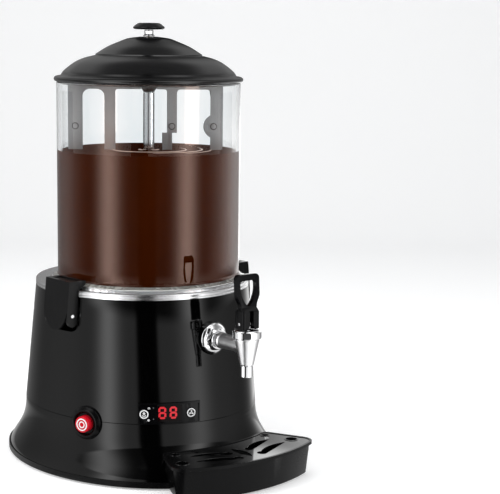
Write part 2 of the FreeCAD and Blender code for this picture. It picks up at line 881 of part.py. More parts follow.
tap_reach = 55.0
escutcheon_radius = 16.4
escutcheon_depth = 4.2
tap_nut_across = 22.0
tap_nut_depth = 5.5
collar_radius = 15.1
collar_height = 9.5
body_above_tap = 9.3
cone_top_radius = 12.7
cone_low_radius = 7.4
nozzle_radius = 6.6
nozzle_top_drop = 18.8
nozzle_drop = 31.3
spout_radius = 3.8
seat_drop = 14.3
stem_rod_radius = 2.2
seal_radius = 10.3
locknut_across = 20.0
handle_pin_rise = 5.9
handle_pin_radius = 1.7
handle_rest_gap = 0.5
stem_head_half = 2.2
stem_head_radius = 3.2
handle_block_half = 10.7
handle_block_depth = 7.4
handle_block_height = 18.4
handle_waist_rise = 22.4
handle_waist_half = 10.3
handle_rise = 56.5
handle_wide_half = 14.6
handle_grip_depth = 2.8
handle_leg = 4.2
handle_bar = 6.6
handle_block_round = 2.2
handle_slot_flare = 2.2
handle_slot_flare_height = 4.5
handle_corner = 5.0
handle_lean = 3.5

collar_low = tap_z + body_above_tap
collar_top = collar_low + collar_height
nozzle_top = tap_z - nozzle_top_drop
nozzle_low = tap_z - nozzle_drop
seat_z = tap_z - seat_drop
handle_pin_z = collar_top + handle_pin_rise
handle_waist_z = collar_top + handle_waist_rise
handle_top_z = collar_top + handle_rise
handle_block_top = collar_top + handle_block_height


def tap_y():
    return -(tap_face() + tap_reach)


def tap_inner_end():
    """Distance from the bowl's axis to the inner end of the tap's shank."""
    return pot_radius - sheet - 9.0


def tap_escutcheon():
    face = tap_face()
    dome = turned([(shank_radius + close_fit, 0), (escutcheon_radius, 0), (escutcheon_radius, 1.4),
                   (escutcheon_radius - 2.0, 2.8), (escutcheon_radius - 5.5, escutcheon_depth),
                   (shank_radius + close_fit, escutcheon_depth)])
    return aimed(dome, V(0, -face, tap_z), FRONT)


def tap_nut():
    nut = hexagon(tap_nut_across, tap_nut_depth)
    crown = Part.makeCone(tap_nut_across / 2 + 3.2, tap_nut_across / 2 - 1.0, 4.2,
                          V(0, 0, tap_nut_depth - 4.2))
    nut = nut.common(crown.fuse(cylinder(tap_nut_across, -1, tap_nut_depth - 3)))
    nut = nut.cut(cylinder(shank_radius + close_fit, -5, 20))
    return aimed(nut, V(0, -tap_face() - escutcheon_depth, tap_z), FRONT)


def shank_bore():
    """Drink channel from the pot to the valve chamber."""
    start = -(pot_radius - 16.0)
    return aimed(Part.makeCylinder(4.6, start - tap_y()), V(0, start, tap_z), FRONT)


def tap_cone():
    """Outer cone and nozzle of the tap body."""
    return turned([(0, nozzle_low), (nozzle_radius - 0.6, nozzle_low),
                   (nozzle_radius, nozzle_low + 0.8), (nozzle_radius, nozzle_top),
                   (cone_low_radius, nozzle_top), (cone_top_radius, collar_low),
                   (0, collar_low)], 0, tap_y())


def valve_chamber():
    wall = 1.7
    seat_radius = 5.4
    return turned([(0, seat_z), (seat_radius, seat_z), (cone_top_radius - wall, collar_low + 1),
                   (0, collar_low + 1)], 0, tap_y())


def tap_body():
    """Chrome tap: threaded shank, barrel, cone and nozzle in one casting."""
    barrel = aimed(Part.makeCylinder(shank_radius, -tap_inner_end() - tap_y()),
                   V(0, -tap_inner_end(), tap_z), FRONT)
    solid = fuse([barrel, tap_cone()])
    spout = cylinder(spout_radius, nozzle_low - 2, seat_z + 1, 0, tap_y())
    return solid.cut(valve_chamber()).cut(spout).cut(shank_bore())


def shank_seal():
    """Silicone washer between the lock nut and the curved wall of the pot."""
    flat = -(pot_radius - sheet - 3.2)
    pad = aimed(tube(seal_radius, shank_radius + close_fit, 0, 6.0), V(0, flat, tap_z), FRONT)
    return pad.common(cylinder(pot_radius - sheet - close_fit, tap_z - 30, tap_z + 30))


def shank_spacer():
    """Sleeve around the shank between the pot and the wall of the tank."""
    length = water_gap + 6.0
    solid = aimed(tube(shank_radius + 4.0, shank_radius + close_fit, 0, length),
                  V(0, -pot_radius + 4, tap_z), FRONT)
    ring = tube(tank_radius - sheet - close_fit, pot_radius + close_fit, tap_z - 30, tap_z + 30)
    return solid.common(ring)


def shank_locknut():
    flat = -(pot_radius - sheet - 3.2)
    nut = hexagon(locknut_across, 4.5).cut(cylinder(shank_radius + close_fit, -5, 10))
    return aimed(nut, V(0, flat + 4.5, tap_z), FRONT)


def tap_bonnet():
    """Screw-on collar that closes the top of the tap body."""
    bore = stem_rod_radius + running_fit
    cap = turned([(bore, collar_low), (collar_radius - 0.6, collar_low),
                  (collar_radius, collar_low + 0.8), (collar_radius, collar_top - 1.6),
                  (collar_radius - 1.6, collar_top), (bore, collar_top)], 0, tap_y())
    return cap


def valve_stem():
    """Rod with a spring collar and a flat head, round about the handle's pin."""
    y = tap_y()
    radius = stem_head_radius
    rod = cylinder(stem_rod_radius, seat_z + 1.5, handle_pin_z - 2.0, 0, y)
    collar = cylinder(4.4, seat_z + 4.2, seat_z + 6.2, 0, y)
    head = block(-stem_head_half, stem_head_half, y - radius, y + radius, collar_top + 0.8, handle_pin_z)
    eye = aimed(Part.makeCylinder(radius, 2 * stem_head_half), V(-stem_head_half, y, handle_pin_z), V(1, 0, 0))
    pin_hole = aimed(Part.makeCylinder(handle_pin_radius + running_fit, 40),
                     V(-20, y, handle_pin_z), V(1, 0, 0))
    return fuse([rod, collar, head, eye]).cut(pin_hole)


def valve_seal():
    y = tap_y()
    return turned([(stem_rod_radius + 0.02, seat_z + 0.02), (4.6, seat_z + 0.02),
                   (4.8, seat_z + 3.0), (4.0, seat_z + 4.2), (stem_rod_radius + 0.02, seat_z + 4.2)],
                  0, y).fuse(cylinder(stem_rod_radius + 0.02, seat_z + 0.02, seat_z + 1.5, 0, y)
                             ).removeSplitter()


def valve_spring():
    """Coil envelope of the closing spring, between the stem's collar and the bonnet."""
    return tube(4.2, stem_rod_radius + 0.5, seat_z + 6.2, collar_low, 0, tap_y())


def handle_pin():
    half = handle_block_half + 0.4
    return aimed(Part.makeCylinder(handle_pin_radius, 2 * half),
                 V(-half, tap_y(), handle_pin_z), V(1, 0, 0))


def half_outline(points, corner_top, corner):
    """Right half of a loop outline: a smooth side, a round shoulder and half of the flat top."""
    side = Part.BSplineCurve()
    side.interpolate([V(x, 0, z) for x, z in points])
    wide, shoulder = points[-1]
    upright = Part.makeLine(V(wide, 0, shoulder), V(wide, 0, corner_top - corner))
    slack = corner * (1.0 - math.sqrt(0.5))
    turn = Part.Arc(V(wide, 0, corner_top - corner), V(wide - slack, 0, corner_top - slack),
                    V(wide - corner, 0, corner_top)).toShape()
    flat = Part.makeLine(V(wide - corner, 0, corner_top), V(0, 0, corner_top))
    return [side.toShape(), upright, turn, flat]


def closed_face(half, start):
    edges = half + [mirrored(edge) for edge in half]
    if start[0] > 0:
        edges.append(Part.makeLine(V(-start[0], 0, start[1]), V(start[0], 0, start[1])))
    return Part.Face(Part.Wire(Part.__sortEdges__(edges)))


def grip_outer():
    """Outside of the handle's loop in the XZ plane, from its waist to its flat top."""
    waist, wide = handle_waist_half, handle_wide_half
    z = handle_waist_z
    points = [(waist, z), (waist + 1.2, z + 5.5), (wide - 0.5, z + 11.0), (wide, z + 15.0)]
    return closed_face(half_outline(points, handle_top_z, handle_corner), points[0])


def grip_opening():
    """Finger opening: wide at the top and closing to a round point over the waist."""
    wide = handle_wide_half - handle_leg
    z = handle_waist_z + 1.0
    points = [(0.0, z), (2.6, z + 1.6), (wide - 3.2, z + 8.0), (wide - 0.8, z + 14.0), (wide, z + 18.0)]
    return closed_face(half_outline(points, handle_top_z - handle_bar, 3.0), points[0])


def block_section(half_x, half_y, z):
    """Rounded rectangle across the handle's block at height z."""
    y = tap_y()
    plate = block(-half_x, half_x, y - half_y, y + half_y, z, z + 1.0)
    upright = [e for e in plate.Edges if e.BoundBox.ZMax - e.BoundBox.ZMin > 0.9]
    plate = plate.makeFillet(min(handle_block_round, 0.6 * half_y), upright)
    return [f for f in plate.Faces if f.BoundBox.ZMax < z + 0.1][0].OuterWire


def tap_handle():
    """Looped lever: open grip leaning back, waist, and a forked block that rocks on the collar."""
    y = tap_y()
    low = collar_top + handle_rest_gap
    depth = handle_grip_depth
    grip = grip_outer().cut(grip_opening()).extrude(V(0, 2 * depth, 0))
    grip.translate(V(0, y - depth, 0))
    grip.rotate(V(0, y, handle_waist_z), V(1, 0, 0), -handle_lean)
    foot = Part.makeLoft([block_section(handle_block_half, handle_block_depth, low),
                          block_section(handle_block_half, handle_block_depth, handle_block_top)],
                         True, True)
    neck = Part.makeLoft([block_section(handle_block_half, handle_block_depth, handle_block_top),
                          block_section(handle_waist_half, depth, handle_waist_z + 0.5)], True, True)
    solid = join([grip, foot, neck])
    half = stem_head_half + loose_fit
    slot = block(-half, half, y - 20, y + 20, low - 1, handle_pin_z + stem_head_radius + slot_fit)
    groove = block(-half, half, y - 20, y - handle_grip_depth, low, handle_waist_z - 3.0)
    foot_half = half + handle_slot_flare
    wedge = Part.Face(Part.makePolygon([
        V(-foot_half, y - 20, low - 1), V(foot_half, y - 20, low - 1),
        V(half, y - 20, low + handle_slot_flare_height), V(-half, y - 20, low + handle_slot_flare_height),
        V(-foot_half, y - 20, low - 1)])).extrude(V(0, 40, 0))
    pin_hole = aimed(Part.makeCylinder(handle_pin_radius + running_fit, 60),
                     V(-30, y, handle_pin_z), V(1, 0, 0))
    return solid.cut(slot).cut(groove).cut(wedge).cut(pin_hole)


# ================= side clips =================

clip_sheet = 2.6
clip_top_rise = 10.1
clip_lean = 4.0 / 43.0
clip_stand_off = 5.4
clip_low_gap = 1.6
clip_tip_gap = 1.0
clip_nub = 2.4
clip_tongue = 27.0
clip_lobe_half = 7.6
clip_lobe_drop = 11.8
clip_recess = 1.0
clip_recess_margin = 4.5
clip_top_z = deck_top + clip_top_rise
clip_low = pocket_low + clip_low_gap


def clip_face(z):
    """Outer face of the clip's plate at height z; it leans out downwards like the housing."""
    return deck_side + clip_stand_off + (clip_top_z - z) * clip_lean


def ellipse_face(centre, long_end, short_end):
    """Flat ellipse round centre, given by the ends of its long and short half axes."""
    return Part.Face(Part.Wire([Part.Ellipse(centre + long_end, centre + short_end, centre).toShape()]))


def clip_tongue_outline():
    """Face-on outline of the clip's plate: straight sides that end in half an ellipse."""
    centre = V(0, clip_back, clip_low + clip_tongue)
    end = ellipse_face(centre, V(0, 0, -clip_tongue), V(0, clip_half, 0)).extrude(V(400, 0, 0))
    upper = block(0, 400, clip_back - clip_half, clip_back + clip_half, centre.z, clip_top_z)
    return upper.fuse(end)


def clip_cheek(edge_y):
    """Side wall of the clip: it hangs from the top and ends in a lobe round the pin."""
    pin = V(clip_pin_x(), edge_y, clip_pin_z)
    outside = clip_face(clip_pin_z) - 0.5
    x_tip = bowl_radius + clip_tip_gap
    wall = Part.Face(Part.makePolygon([
        V(x_tip, edge_y, clip_top_z), V(clip_face(clip_top_z) - 0.5, edge_y, clip_top_z),
        V(outside, edge_y, clip_pin_z), V(pin.x - clip_lobe_half, edge_y, clip_pin_z),
        V(pin.x - clip_lobe_half, edge_y, deck_z), V(x_tip, edge_y, clip_top_z - 6.0),
        V(x_tip, edge_y, clip_top_z)])).extrude(V(0, clip_sheet, 0))
    lobe = ellipse_face(pin, V(0, 0, -clip_lobe_drop), V(clip_lobe_half, 0, 0)).extrude(V(0, clip_sheet, 0))
    keep = block(0, outside, edge_y - 1, edge_y + clip_sheet + 1, 0, 400)
    return wall.fuse(lobe.common(keep))


def clip_lever():
    """Right-hand over-centre clip: plate, two cheeks and a top that hooks the bowl's foot."""
    y0 = clip_back - clip_half
    y1 = clip_back + clip_half
    x_tip = bowl_radius + clip_tip_gap
    top = clip_top_z
    plate = Part.Face(Part.makePolygon([
        V(clip_face(top) - clip_sheet, y0, top), V(clip_face(top), y0, top),
        V(clip_face(clip_low), y0, clip_low), V(clip_face(clip_low) - clip_sheet, y0, clip_low),
        V(clip_face(top) - clip_sheet, y0, top)])).extrude(V(0, y1 - y0, 0))
    plate = plate.common(clip_tongue_outline())
    cap = block(x_tip, clip_face(top) - 0.5, y0, y1, top - clip_sheet, top)
    margin = clip_recess_margin
    hollow = block(x_tip + margin, clip_face(top) - margin, y0 + margin, y1 - margin,
                   top - clip_recess, top + 1)
    cap = cap.cut(hollow)
    cheeks = [clip_cheek(edge_y) for edge_y in (y0, y1 - clip_sheet)]
    pin_x = clip_pin_x()
    nub = block(bowl_radius + 4.1, bowl_radius + 6.8, clip_back - 6, clip_back + 14,
                top - clip_sheet - clip_nub, top - clip_sheet + 0.5)
    lever = fuse([plate, cap, nub] + cheeks)
    deck_clear = oval_prism(deck_oval, deck_z - 3.0, deck_top + 0.6, 0.7)
    foot_clear = cylinder(bowl_foot_radius + 0.6, 0, deck_top + loose_fit + 3.0)
    foot_cone = Part.makeCone(bowl_foot_radius + 0.6, bowl_radius + 1.0, 7.0,
                              V(0, 0, deck_top + 2.2))
    wall_clear = block(0, pocket_floor_x() + 0.8, -60, 60, 0, deck_z)
    pin_hole = aimed(Part.makeCylinder(clip_pin_radius + running_fit, 80),
                     V(pin_x, clip_back - 40, clip_pin_z), V(0, 1, 0))
    for clear in (deck_clear, foot_clear, foot_cone, wall_clear, pin_hole):
        lever = lever.cut(clear)
    return lever.removeSplitter()


def clip_pin():
    y0 = clip_back - clip_half - 0.4
    length = 2 * clip_half + 0.8
    return aimed(Part.makeCylinder(clip_pin_radius, length), V(clip_pin_x(), y0, clip_pin_z),
                 V(0, 1, 0))


# ================= switch and display =================

switch_x = -111.0
switch_drop = 2.6
bezel_radius = 18.0
bezel_hole = 14.5
bezel_depth = 4.0
button_radius = 8.6
button_reach = 12.0
button_travel = 3.0
panel_mid_x = -51.4
panel_half = 32.6
panel_gap = 0.6
panel_height = 22.3
panel_skin = 1.2
panel_frame = 2.0
panel_visor = 3.2
visor_height = 1.7
panel_side_land = 1.4
panel_low_land = 3.5
panel_high_land = 2.0
module_depth = 24.0
module_setback = 6.4
key_radius = 5.2
key_reach = 1.9
key_travel = 0.8
key_left_x = -73.3
key_right_x = -30.4
key_rise = 11.4
window_half = 12.6
window_margin = 3.1
window_sink = 0.2

switch_z = seam_z - switch_drop
panel_low = seam_z + panel_gap
panel_high = panel_low + panel_height
key_z = seam_z + key_rise
window_low = panel_low + window_margin
window_high = panel_high - window_margin


def switch_place():
    return wall_place(switch_x, switch_z)


def switch_opening():
    point, normal = switch_place()
    return aimed(Part.makeCylinder(bezel_hole, 60), point - normal * 40, normal)


def body_solid():
    """Skirt and housing together, as one outer form."""
    return skirt_solid().fuse(housing_solid())


def switch_bezel():
    """Round bezel: a flange shaped to the wall and a stepped collar."""
    point, normal = switch_place()
    flange = Part.makeCylinder(bezel_radius, 14.0, V(0, 0, -10.0))
    collar = Part.makeCylinder(button_radius + 3.0, bezel_depth + 5.5)
    flange = aimed(fuse([flange.cut(Part.makeCylinder(40, 20, V(0, 0, bezel_depth - 2.5))),
                         Part.makeCone(bezel_radius, bezel_radius - 2.5, 2.5,
                                       V(0, 0, bezel_depth - 2.5))]), point, normal)
    flange = flange.cut(body_solid())
    barrel = aimed(Part.makeCylinder(bezel_hole - loose_fit, bezel_depth + 14.0,
                                     V(0, 0, -14.5)), point, normal)
    bore = aimed(Part.makeCylinder(button_radius + button_fit, 60, V(0, 0, -30)), point, normal)
    collar = aimed(collar, point, normal)
    return fuse([flange, barrel, collar]).cut(bore)


def power_button():
    point, normal = switch_place()
    button = Part.makeCylinder(button_radius, button_reach + 13.0, V(0, 0, -13.0))
    front = [e for e in button.Edges if abs(e.BoundBox.ZMin - button_reach) < 1e-6]
    button = button.makeChamfer(1.0, front)
    return aimed(button, point, normal)


def switch_body():
    point, normal = switch_place()
    case = Part.makeCylinder(bezel_hole - 0.8, 24.0, V(0, 0, -38.5))
    well = Part.makeCylinder(button_radius + button_fit, button_travel + 1.0,
                             V(0, 0, -14.5 - button_travel - 1.0))
    terminals = [Part.makeBox(6.0, 0.8, 9.0, V(-3.0, y, -47.0)) for y in (-6.4, 5.6)]
    return aimed(fuse([case.cut(well)] + terminals), point, normal)


def panel_box(half, low, high, skin):
    """Part of the front wall's skin, skin deep, within half of the panel's middle."""
    point, normal = wall_place(panel_mid_x, 0.5 * (panel_low + panel_high))
    box = Part.makeBox(2 * half, high - low, 30.0, V(-half, -(high - low) / 2.0, -12.0))
    side = UP.cross(normal)
    turn = FreeCAD.Rotation(side, UP, normal, "ZXY")
    box.Placement = FreeCAD.Placement(V(point.x, point.y, 0.5 * (low + high)), turn)
    shape = housing_solid(skin).common(box)
    return shape.cut(housing_solid())


def display_opening(grow=0.0):
    point, normal = wall_place(panel_mid_x, 0.5 * (panel_low + panel_high))
    half = panel_half - panel_side_land + grow
    low = panel_low + panel_low_land - grow
    high = panel_high - panel_high_land
    box = Part.makeBox(2 * half, high - low, 60.0, V(-half, -(high - low) / 2.0, -30.0))
    turn = FreeCAD.Rotation(UP.cross(normal), UP, normal, "ZXY")
    box.Placement = FreeCAD.Placement(V(point.x, point.y, 0.5 * (low + high)), turn)
    return box


def key_places():
    return [("key_left", wall_place(key_left_x, key_z)),
            ("key_right", wall_place(key_right_x, key_z))]


def display_panel():
    """Moulded panel with a raised frame, key holes and a window."""
    panel = panel_box(panel_half, panel_low, panel_high, panel_skin)
    frame = panel_box(panel_half, panel_low, panel_high, panel_frame)
    frame = frame.cut(panel_box(panel_half - 1.4, panel_low + 1.2, panel_high - 1.4, panel_frame + 2))
    visor = panel_box(panel_half, panel_high - visor_height, panel_high, panel_visor)
    panel = panel.fuse(frame).fuse(visor)
    panel = panel.cut(panel_box(window_half, window_low, window_high, panel_visor))
    for name, (point, normal) in key_places():
        panel = panel.cut(aimed(Part.makeCylinder(key_radius + 0.2, 30, V(0, 0, -15)),
                                point, normal))
    return panel.removeSplitter()


def display_window():
    return panel_box(window_half - close_fit, window_low + close_fit, window_high - close_fit,
                     panel_skin - window_sink)


def control_key(place):
    point, normal = place
    cap = Part.makeCylinder(key_radius, key_reach + 3.0, V(0, 0, -3.0))
    front = [e for e in cap.Edges if abs(e.BoundBox.ZMin - key_reach) < 1e-6]
    return aimed(cap.makeChamfer(0.4, front), point, normal)


def display_module():
    """Closed controller module behind the panel, held in the wall's opening."""
    point, normal = wall_place(panel_mid_x, 0.5 * (panel_low + panel_high))
    half = panel_half - panel_side_land - slot_fit
    low = panel_low + panel_low_land + slot_fit
    high = panel_high - panel_high_land - slot_fit
    box = Part.makeBox(2 * half, high - low, module_depth,
                       V(-half, -(high - low) / 2.0, -module_depth - module_setback))
    turn = FreeCAD.Rotation(UP.cross(normal), UP, normal, "ZXY")
    box.Placement = FreeCAD.Placement(V(point.x, point.y, 0.5 * (low + high)), turn)
    for name, (spot, out) in key_places():
        well = Part.makeCylinder(key_radius + slot_fit, 20.0, V(0, 0, -3.0 - key_travel - slot_fit))
        box = box.cut(aimed(well, spot, out))
    return box


# ================= drip tray and grate =================

tray_reach = 46.8
tray_rear_gap = 2.4
tray_rear_half = 68.5
tray_rear_curve = 165.0
tray_side_angle = 25.2
tray_corner = 15.0
tray_rear_corner = 9.0
tray_lip = 2.5
tray_lip_height = 3.2
tray_draft = 3.5
tray_wall = 2.5
grate_thickness = 1.7
grate_drop = 0.6
grate_ledge = 3.5
grate_fit = 0.3


def tray_front():
    """Distance from the bowl's axis to the front of the tray."""
    return front_of(base_top) + tray_reach


def tray_rear():
    """Distance from the bowl's axis to the middle of the tray's rear edge."""
    return front_of(tray_top) + tray_rear_gap


def tray_rear_corner_spot():
    curve = tray_rear_curve
    drop = curve - math.sqrt(curve ** 2 - tray_rear_half ** 2)
    return V(tray_rear_half, drop - tray_rear(), 0)


def tray_outline(inset, z):
    """Closed plan outline of the tray: two arcs and two slanted sides, round corners."""
    front = tray_front()
    rear = tray_rear()
    side = heading(tray_side_angle)
    right_rear = tray_rear_corner_spot()
    along = right_rear.dot(side)
    run = math.sqrt(along ** 2 + front ** 2 - right_rear.Length ** 2) - along
    right_front = right_rear + side * run
    left_rear = V(-right_rear.x, right_rear.y, 0)
    left_front = V(-right_front.x, right_front.y, 0)
    edges = [Part.Arc(left_rear, V(0, -rear, 0), right_rear).toShape(),
             Part.makeLine(right_rear, right_front),
             Part.Arc(right_front, V(0, -front, 0), left_front).toShape(),
             Part.makeLine(left_front, left_rear)]
    prism = Part.Face(Part.Wire(edges)).extrude(UP)
    for spot, radius in ((right_front, tray_corner), (right_rear, tray_rear_corner)):
        corners = [e for e in prism.Edges if e.BoundBox.ZMax - e.BoundBox.ZMin > 0.9
                   and abs(e.BoundBox.YMax - spot.y) < 1.0]
        prism = prism.makeFillet(radius, corners)
    prism.translate(V(0, 0, z))
    low = [f for f in prism.Faces if abs(f.BoundBox.ZMax - z) < 1e-6][0]
    wire = low.OuterWire
    return wire if inset == 0 else wire.makeOffset2D(-inset)


def tray_slab(inset, z0, z1):
    return Part.Face(tray_outline(inset, z0)).extrude(V(0, 0, z1 - z0))


def tray_loft(inset_low, z0, inset_high, z1):
    return Part.makeLoft([tray_outline(inset_low, z0), tray_outline(inset_high, z1)], True, True)


def skirt_clearance(grow):
    base = oval_prism(base_oval, -1.0, base_top + 0.6, grow)
    return skirt_solid(grow).fuse(base)


def drip_tray():
    """Tray moulded over the flare of the skirt, with two prongs into the base."""
    low = foot_height
    lip_z = tray_top - tray_lip_height
    wall = tray_lip + tray_draft
    shell = fuse([tray_loft(wall, low, tray_lip, lip_z + 0.5), tray_slab(0, lip_z, tray_top)])
    shell = shell.cut(skirt_clearance(1.2))
    seat = tray_top - grate_drop - grate_thickness
    ledge = grate_ledge + tray_lip
    hollow = tray_loft(wall + tray_wall, low + tray_wall, ledge, seat + 0.5)
    hollow = hollow.cut(skirt_clearance(1.2 + tray_wall))
    rebate = tray_slab(tray_lip, seat, tray_top + 1)
    shell = shell.cut(hollow).cut(rebate)
    prongs = []
    for side in (-1, 1):
        x = side * prong_spread
        y = -front_of(base_top)
        floor_top = foot_height + base_floor
        prong = block(x - prong_width / 2, x + prong_width / 2, y - 14, y + 22,
                      floor_top + close_fit, floor_top + close_fit + prong_thickness - 0.5)
        prongs.append(prong)
    return fuse([shell] + [prong.cut(hollow) for prong in prongs])


# (radius, distance along the slanted side from the rear corner, distance in from that side)
grate_holes = ((4.0, 8.8, 13.1), (6.1, 40.2, 14.0))
# distances in from the tray's front edge
comma_rows = ((43.6, 33.1), (24.1, 13.6))
leaf_rear_inset = 51.1
leaf_front_inset = 16.6
leaf_half = 5.0
bead = 1.5
bead_height = 0.5


def comma(tip, tip_angle, thick, thick_angle, width):
    """Comma-shaped slot that sweeps in from a pointed tip to a round end near the middle."""
    def at(radius, angle):
        return heading(angle) * radius
    mid_angle = 0.5 * (tip_angle + thick_angle)
    start = at(tip, tip_angle)
    rear = at(thick - width, thick_angle + 1.0)
    front = at(thick, thick_angle)
    blunt = at(thick - width * 0.45, thick_angle - 1.6)
    over = Part.Arc(start, at(tip - 6.2, mid_angle + 1.0), rear).toShape()
    end = Part.Arc(rear, blunt, front).toShape()
    under = Part.Arc(front, at(tip + 2.6, mid_angle + 1.5), start).toShape()
    return Part.Face(Part.Wire([over, end, under])).extrude(V(0, 0, 60))


def grate_hole_places():
    """Radius and centre of the round holes beside the grate's slanted sides."""
    corner = tray_rear_corner_spot()
    along = heading(tray_side_angle)
    inward = V(along.y, -along.x, 0)
    places = []
    for radius, run, inset in grate_holes:
        spot = corner + along * run + inward * inset
        places += [(radius, side * spot.x, spot.y) for side in (-1, 1)]
    return places


def grate_cuts():
    cuts = []
    for tip_inset, thick_inset in comma_rows:
        slot = comma(tray_front() - tip_inset, 20.5, tray_front() - thick_inset, 5.0, 9.5)
        cuts += [slot, mirrored(slot)]
    cuts += [cylinder(radius, 0, 60, x, y) for radius, x, y in grate_hole_places()]
    leaf_rear = leaf_rear_inset - tray_front()
    leaf_front = leaf_front_inset - tray_front()
    mid = 0.5 * (leaf_rear + leaf_front)
    leaf = Part.Wire([Part.Arc(V(0, leaf_rear, 0), V(leaf_half, mid, 0), V(0, leaf_front, 0)).toShape(),
                      Part.Arc(V(0, leaf_front, 0), V(-leaf_half, mid, 0), V(0, leaf_rear, 0)).toShape()])
    cuts.append(Part.Face(leaf).extrude(V(0, 0, 60)))
    return cuts


def drip_grate():
    """Lift-out grate with comma slots, a leaf slot and beaded corner holes."""
    top = tray_top - grate_drop
    plate = tray_slab(tray_lip + grate_fit, top - grate_thickness, top)
    for radius, x, y in grate_hole_places():
        plate = plate.fuse(cylinder(radius + bead, top, top + bead_height, x, y))
    for cut in grate_cuts():
        plate = plate.cut(cut)
    return plate.removeSplitter()


# ================= build =================

def main():
    os.makedirs("parts", exist_ok=True)
    save("rubber_feet", rubber_feet())
    save("base_plate", base_plate())
    save("lower_skirt", lower_skirt())
    save("cord_gland", cord_gland())
    save("upper_housing", upper_housing())
    save("deck", deck())
    save("inner_pot", inner_pot())
    save("pot_gasket", pot_gasket())
    save("water_tank", water_tank())
    save("heating_element", heating_element())
    save("heater_nuts", heater_nuts())
    save("thermal_cutout", thermal_cutout())
    save("water_probe", water_probe())
    save("bowl", bowl())
    save("lid_shell", lid_shell())
    save("knob_stem", knob_stem())
    save("knob_nut", knob_nut())
    save("lid_knob", lid_knob())
    save("left_blade", left_blade())
    save("right_blade", right_blade())
    save("hub", hub())
    save("lower_sleeve", lower_sleeve())
    save("drive_shaft", drive_shaft())
    save("shaft_coupling", shaft_coupling())
    save("motor_shaft", motor_shaft())
    save("column_tube", column_tube())
    save("column_bushes", column_bushes())
    save("column_nut", column_nut())
    save("column_seal", column_seal())
    save("gearbox", gearbox())
    save("motor_can", motor_can())
    save("motor_bracket", motor_bracket())
    save("hot_chocolate", hot_chocolate())
    save("tap_escutcheon", tap_escutcheon())
    save("tap_nut", tap_nut())
    save("tap_body", tap_body())
    save("shank_seal", shank_seal())
    save("shank_spacer", shank_spacer())
    save("shank_locknut", shank_locknut())
    save("tap_bonnet", tap_bonnet())
    save("valve_stem", valve_stem())
    save("valve_seal", valve_seal())
    save("valve_spring", valve_spring())
    save("handle_pin", handle_pin())
    save("tap_handle", tap_handle())
    lever = clip_lever()
    save("clip_right", lever)
    save("clip_left", mirrored(lever))
    pin = clip_pin()
    save("clip_pins", [pin, mirrored(pin)])
    save("switch_bezel", switch_bezel())
    save("power_button", power_button())
    save("switch_body", switch_body())
    save("display_panel", display_panel())
    save("display_window", display_window())
    save("display_module", display_module())
    for name, place in key_places():
        save(name, control_key(place))
    save("drip_tray", drip_tray())
    save("drip_grate", drip_grate())


main()
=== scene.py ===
"""Hot chocolate dispenser: looks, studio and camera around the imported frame."""
import json
import math

import bmesh
import bpy
import numpy as np
from mathutils import Matrix, Vector


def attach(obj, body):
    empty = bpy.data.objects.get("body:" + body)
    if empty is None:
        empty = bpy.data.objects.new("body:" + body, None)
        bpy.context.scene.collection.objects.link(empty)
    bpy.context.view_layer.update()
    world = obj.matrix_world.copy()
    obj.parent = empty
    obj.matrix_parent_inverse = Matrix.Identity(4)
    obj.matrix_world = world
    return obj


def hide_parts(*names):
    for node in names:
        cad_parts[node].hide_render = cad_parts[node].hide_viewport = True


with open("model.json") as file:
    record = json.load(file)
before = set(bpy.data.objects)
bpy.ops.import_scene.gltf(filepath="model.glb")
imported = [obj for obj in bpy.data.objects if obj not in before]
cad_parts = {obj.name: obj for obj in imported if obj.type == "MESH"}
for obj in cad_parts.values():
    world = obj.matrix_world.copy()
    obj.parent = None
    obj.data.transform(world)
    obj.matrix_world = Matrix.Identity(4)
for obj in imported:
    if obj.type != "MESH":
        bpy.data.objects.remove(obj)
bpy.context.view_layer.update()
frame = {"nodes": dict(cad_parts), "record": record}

MM = 0.001
TAU = 2.0 * math.pi

# ---- sizes of the machine, in millimetres ----
bowl_r, bowl_wall = 99.4, 4.0
deck_z, deck_top, seam_z = 191.0, 197.3, 62.3
deck_oval = (115.2, 121.3, 12.0)
seam_oval = (122.6, 137.8, 15.9)
base_oval = (139.4, 167.8, 14.5)
bowl_z, rim_z = 200.5, 411.3
bowl_in = bowl_r - bowl_wall
wet_r = bowl_in + 0.06  # the drink reaches just into the bowl's wall, so that no air shows between
pot_r, pot_well_r, pot_step_z, pot_well_z, pot_floor_z = 88.8, 80.0, 164.0, 159.0, 137.9
deck_hole_r = 90.8
liquid_z = 339.3
column_r, column_bore, column_low, column_top = 6.5, 4.6, 88.0, 400.5
tap_z, tap_face, tap_y = 148.3, 115.6, -170.6
collar_low, collar_top, handle_pin_z = 157.7, 167.0, 173.0
nozzle_low, nozzle_top, nozzle_bore, barrel_bore = 117.0, 129.6, 3.8, 4.7
spring_low, spring_high = 140.7, 153.3
blade_turn = math.radians(-35.8)
switch_x, switch_z = -111.0, 59.7
rivet_z = 364.0
digit_z, key_z, key_places = 74.8, 73.7, (("key_left", -73.3), ("key_right", -30.4))
flare_curve = np.polyfit(8.0 + 54.3 * np.array([0.0, 0.166, 0.442, 0.718, 1.0]),
                         [0.92, 0.71, 0.29, 0.06, 0.0], 4)

# camera: a level heading, a pitch down and a slight roll
camera_at = Vector((-938.7, -1299.4, 466.1)) * MM
camera_heading = math.radians(-39.828)
camera_pitch = math.radians(8.319)
camera_roll = math.radians(0.604)
focal_px, frame_px, sensor_mm = 1469.03, 500.0, 36.0


# ================= shapes =================

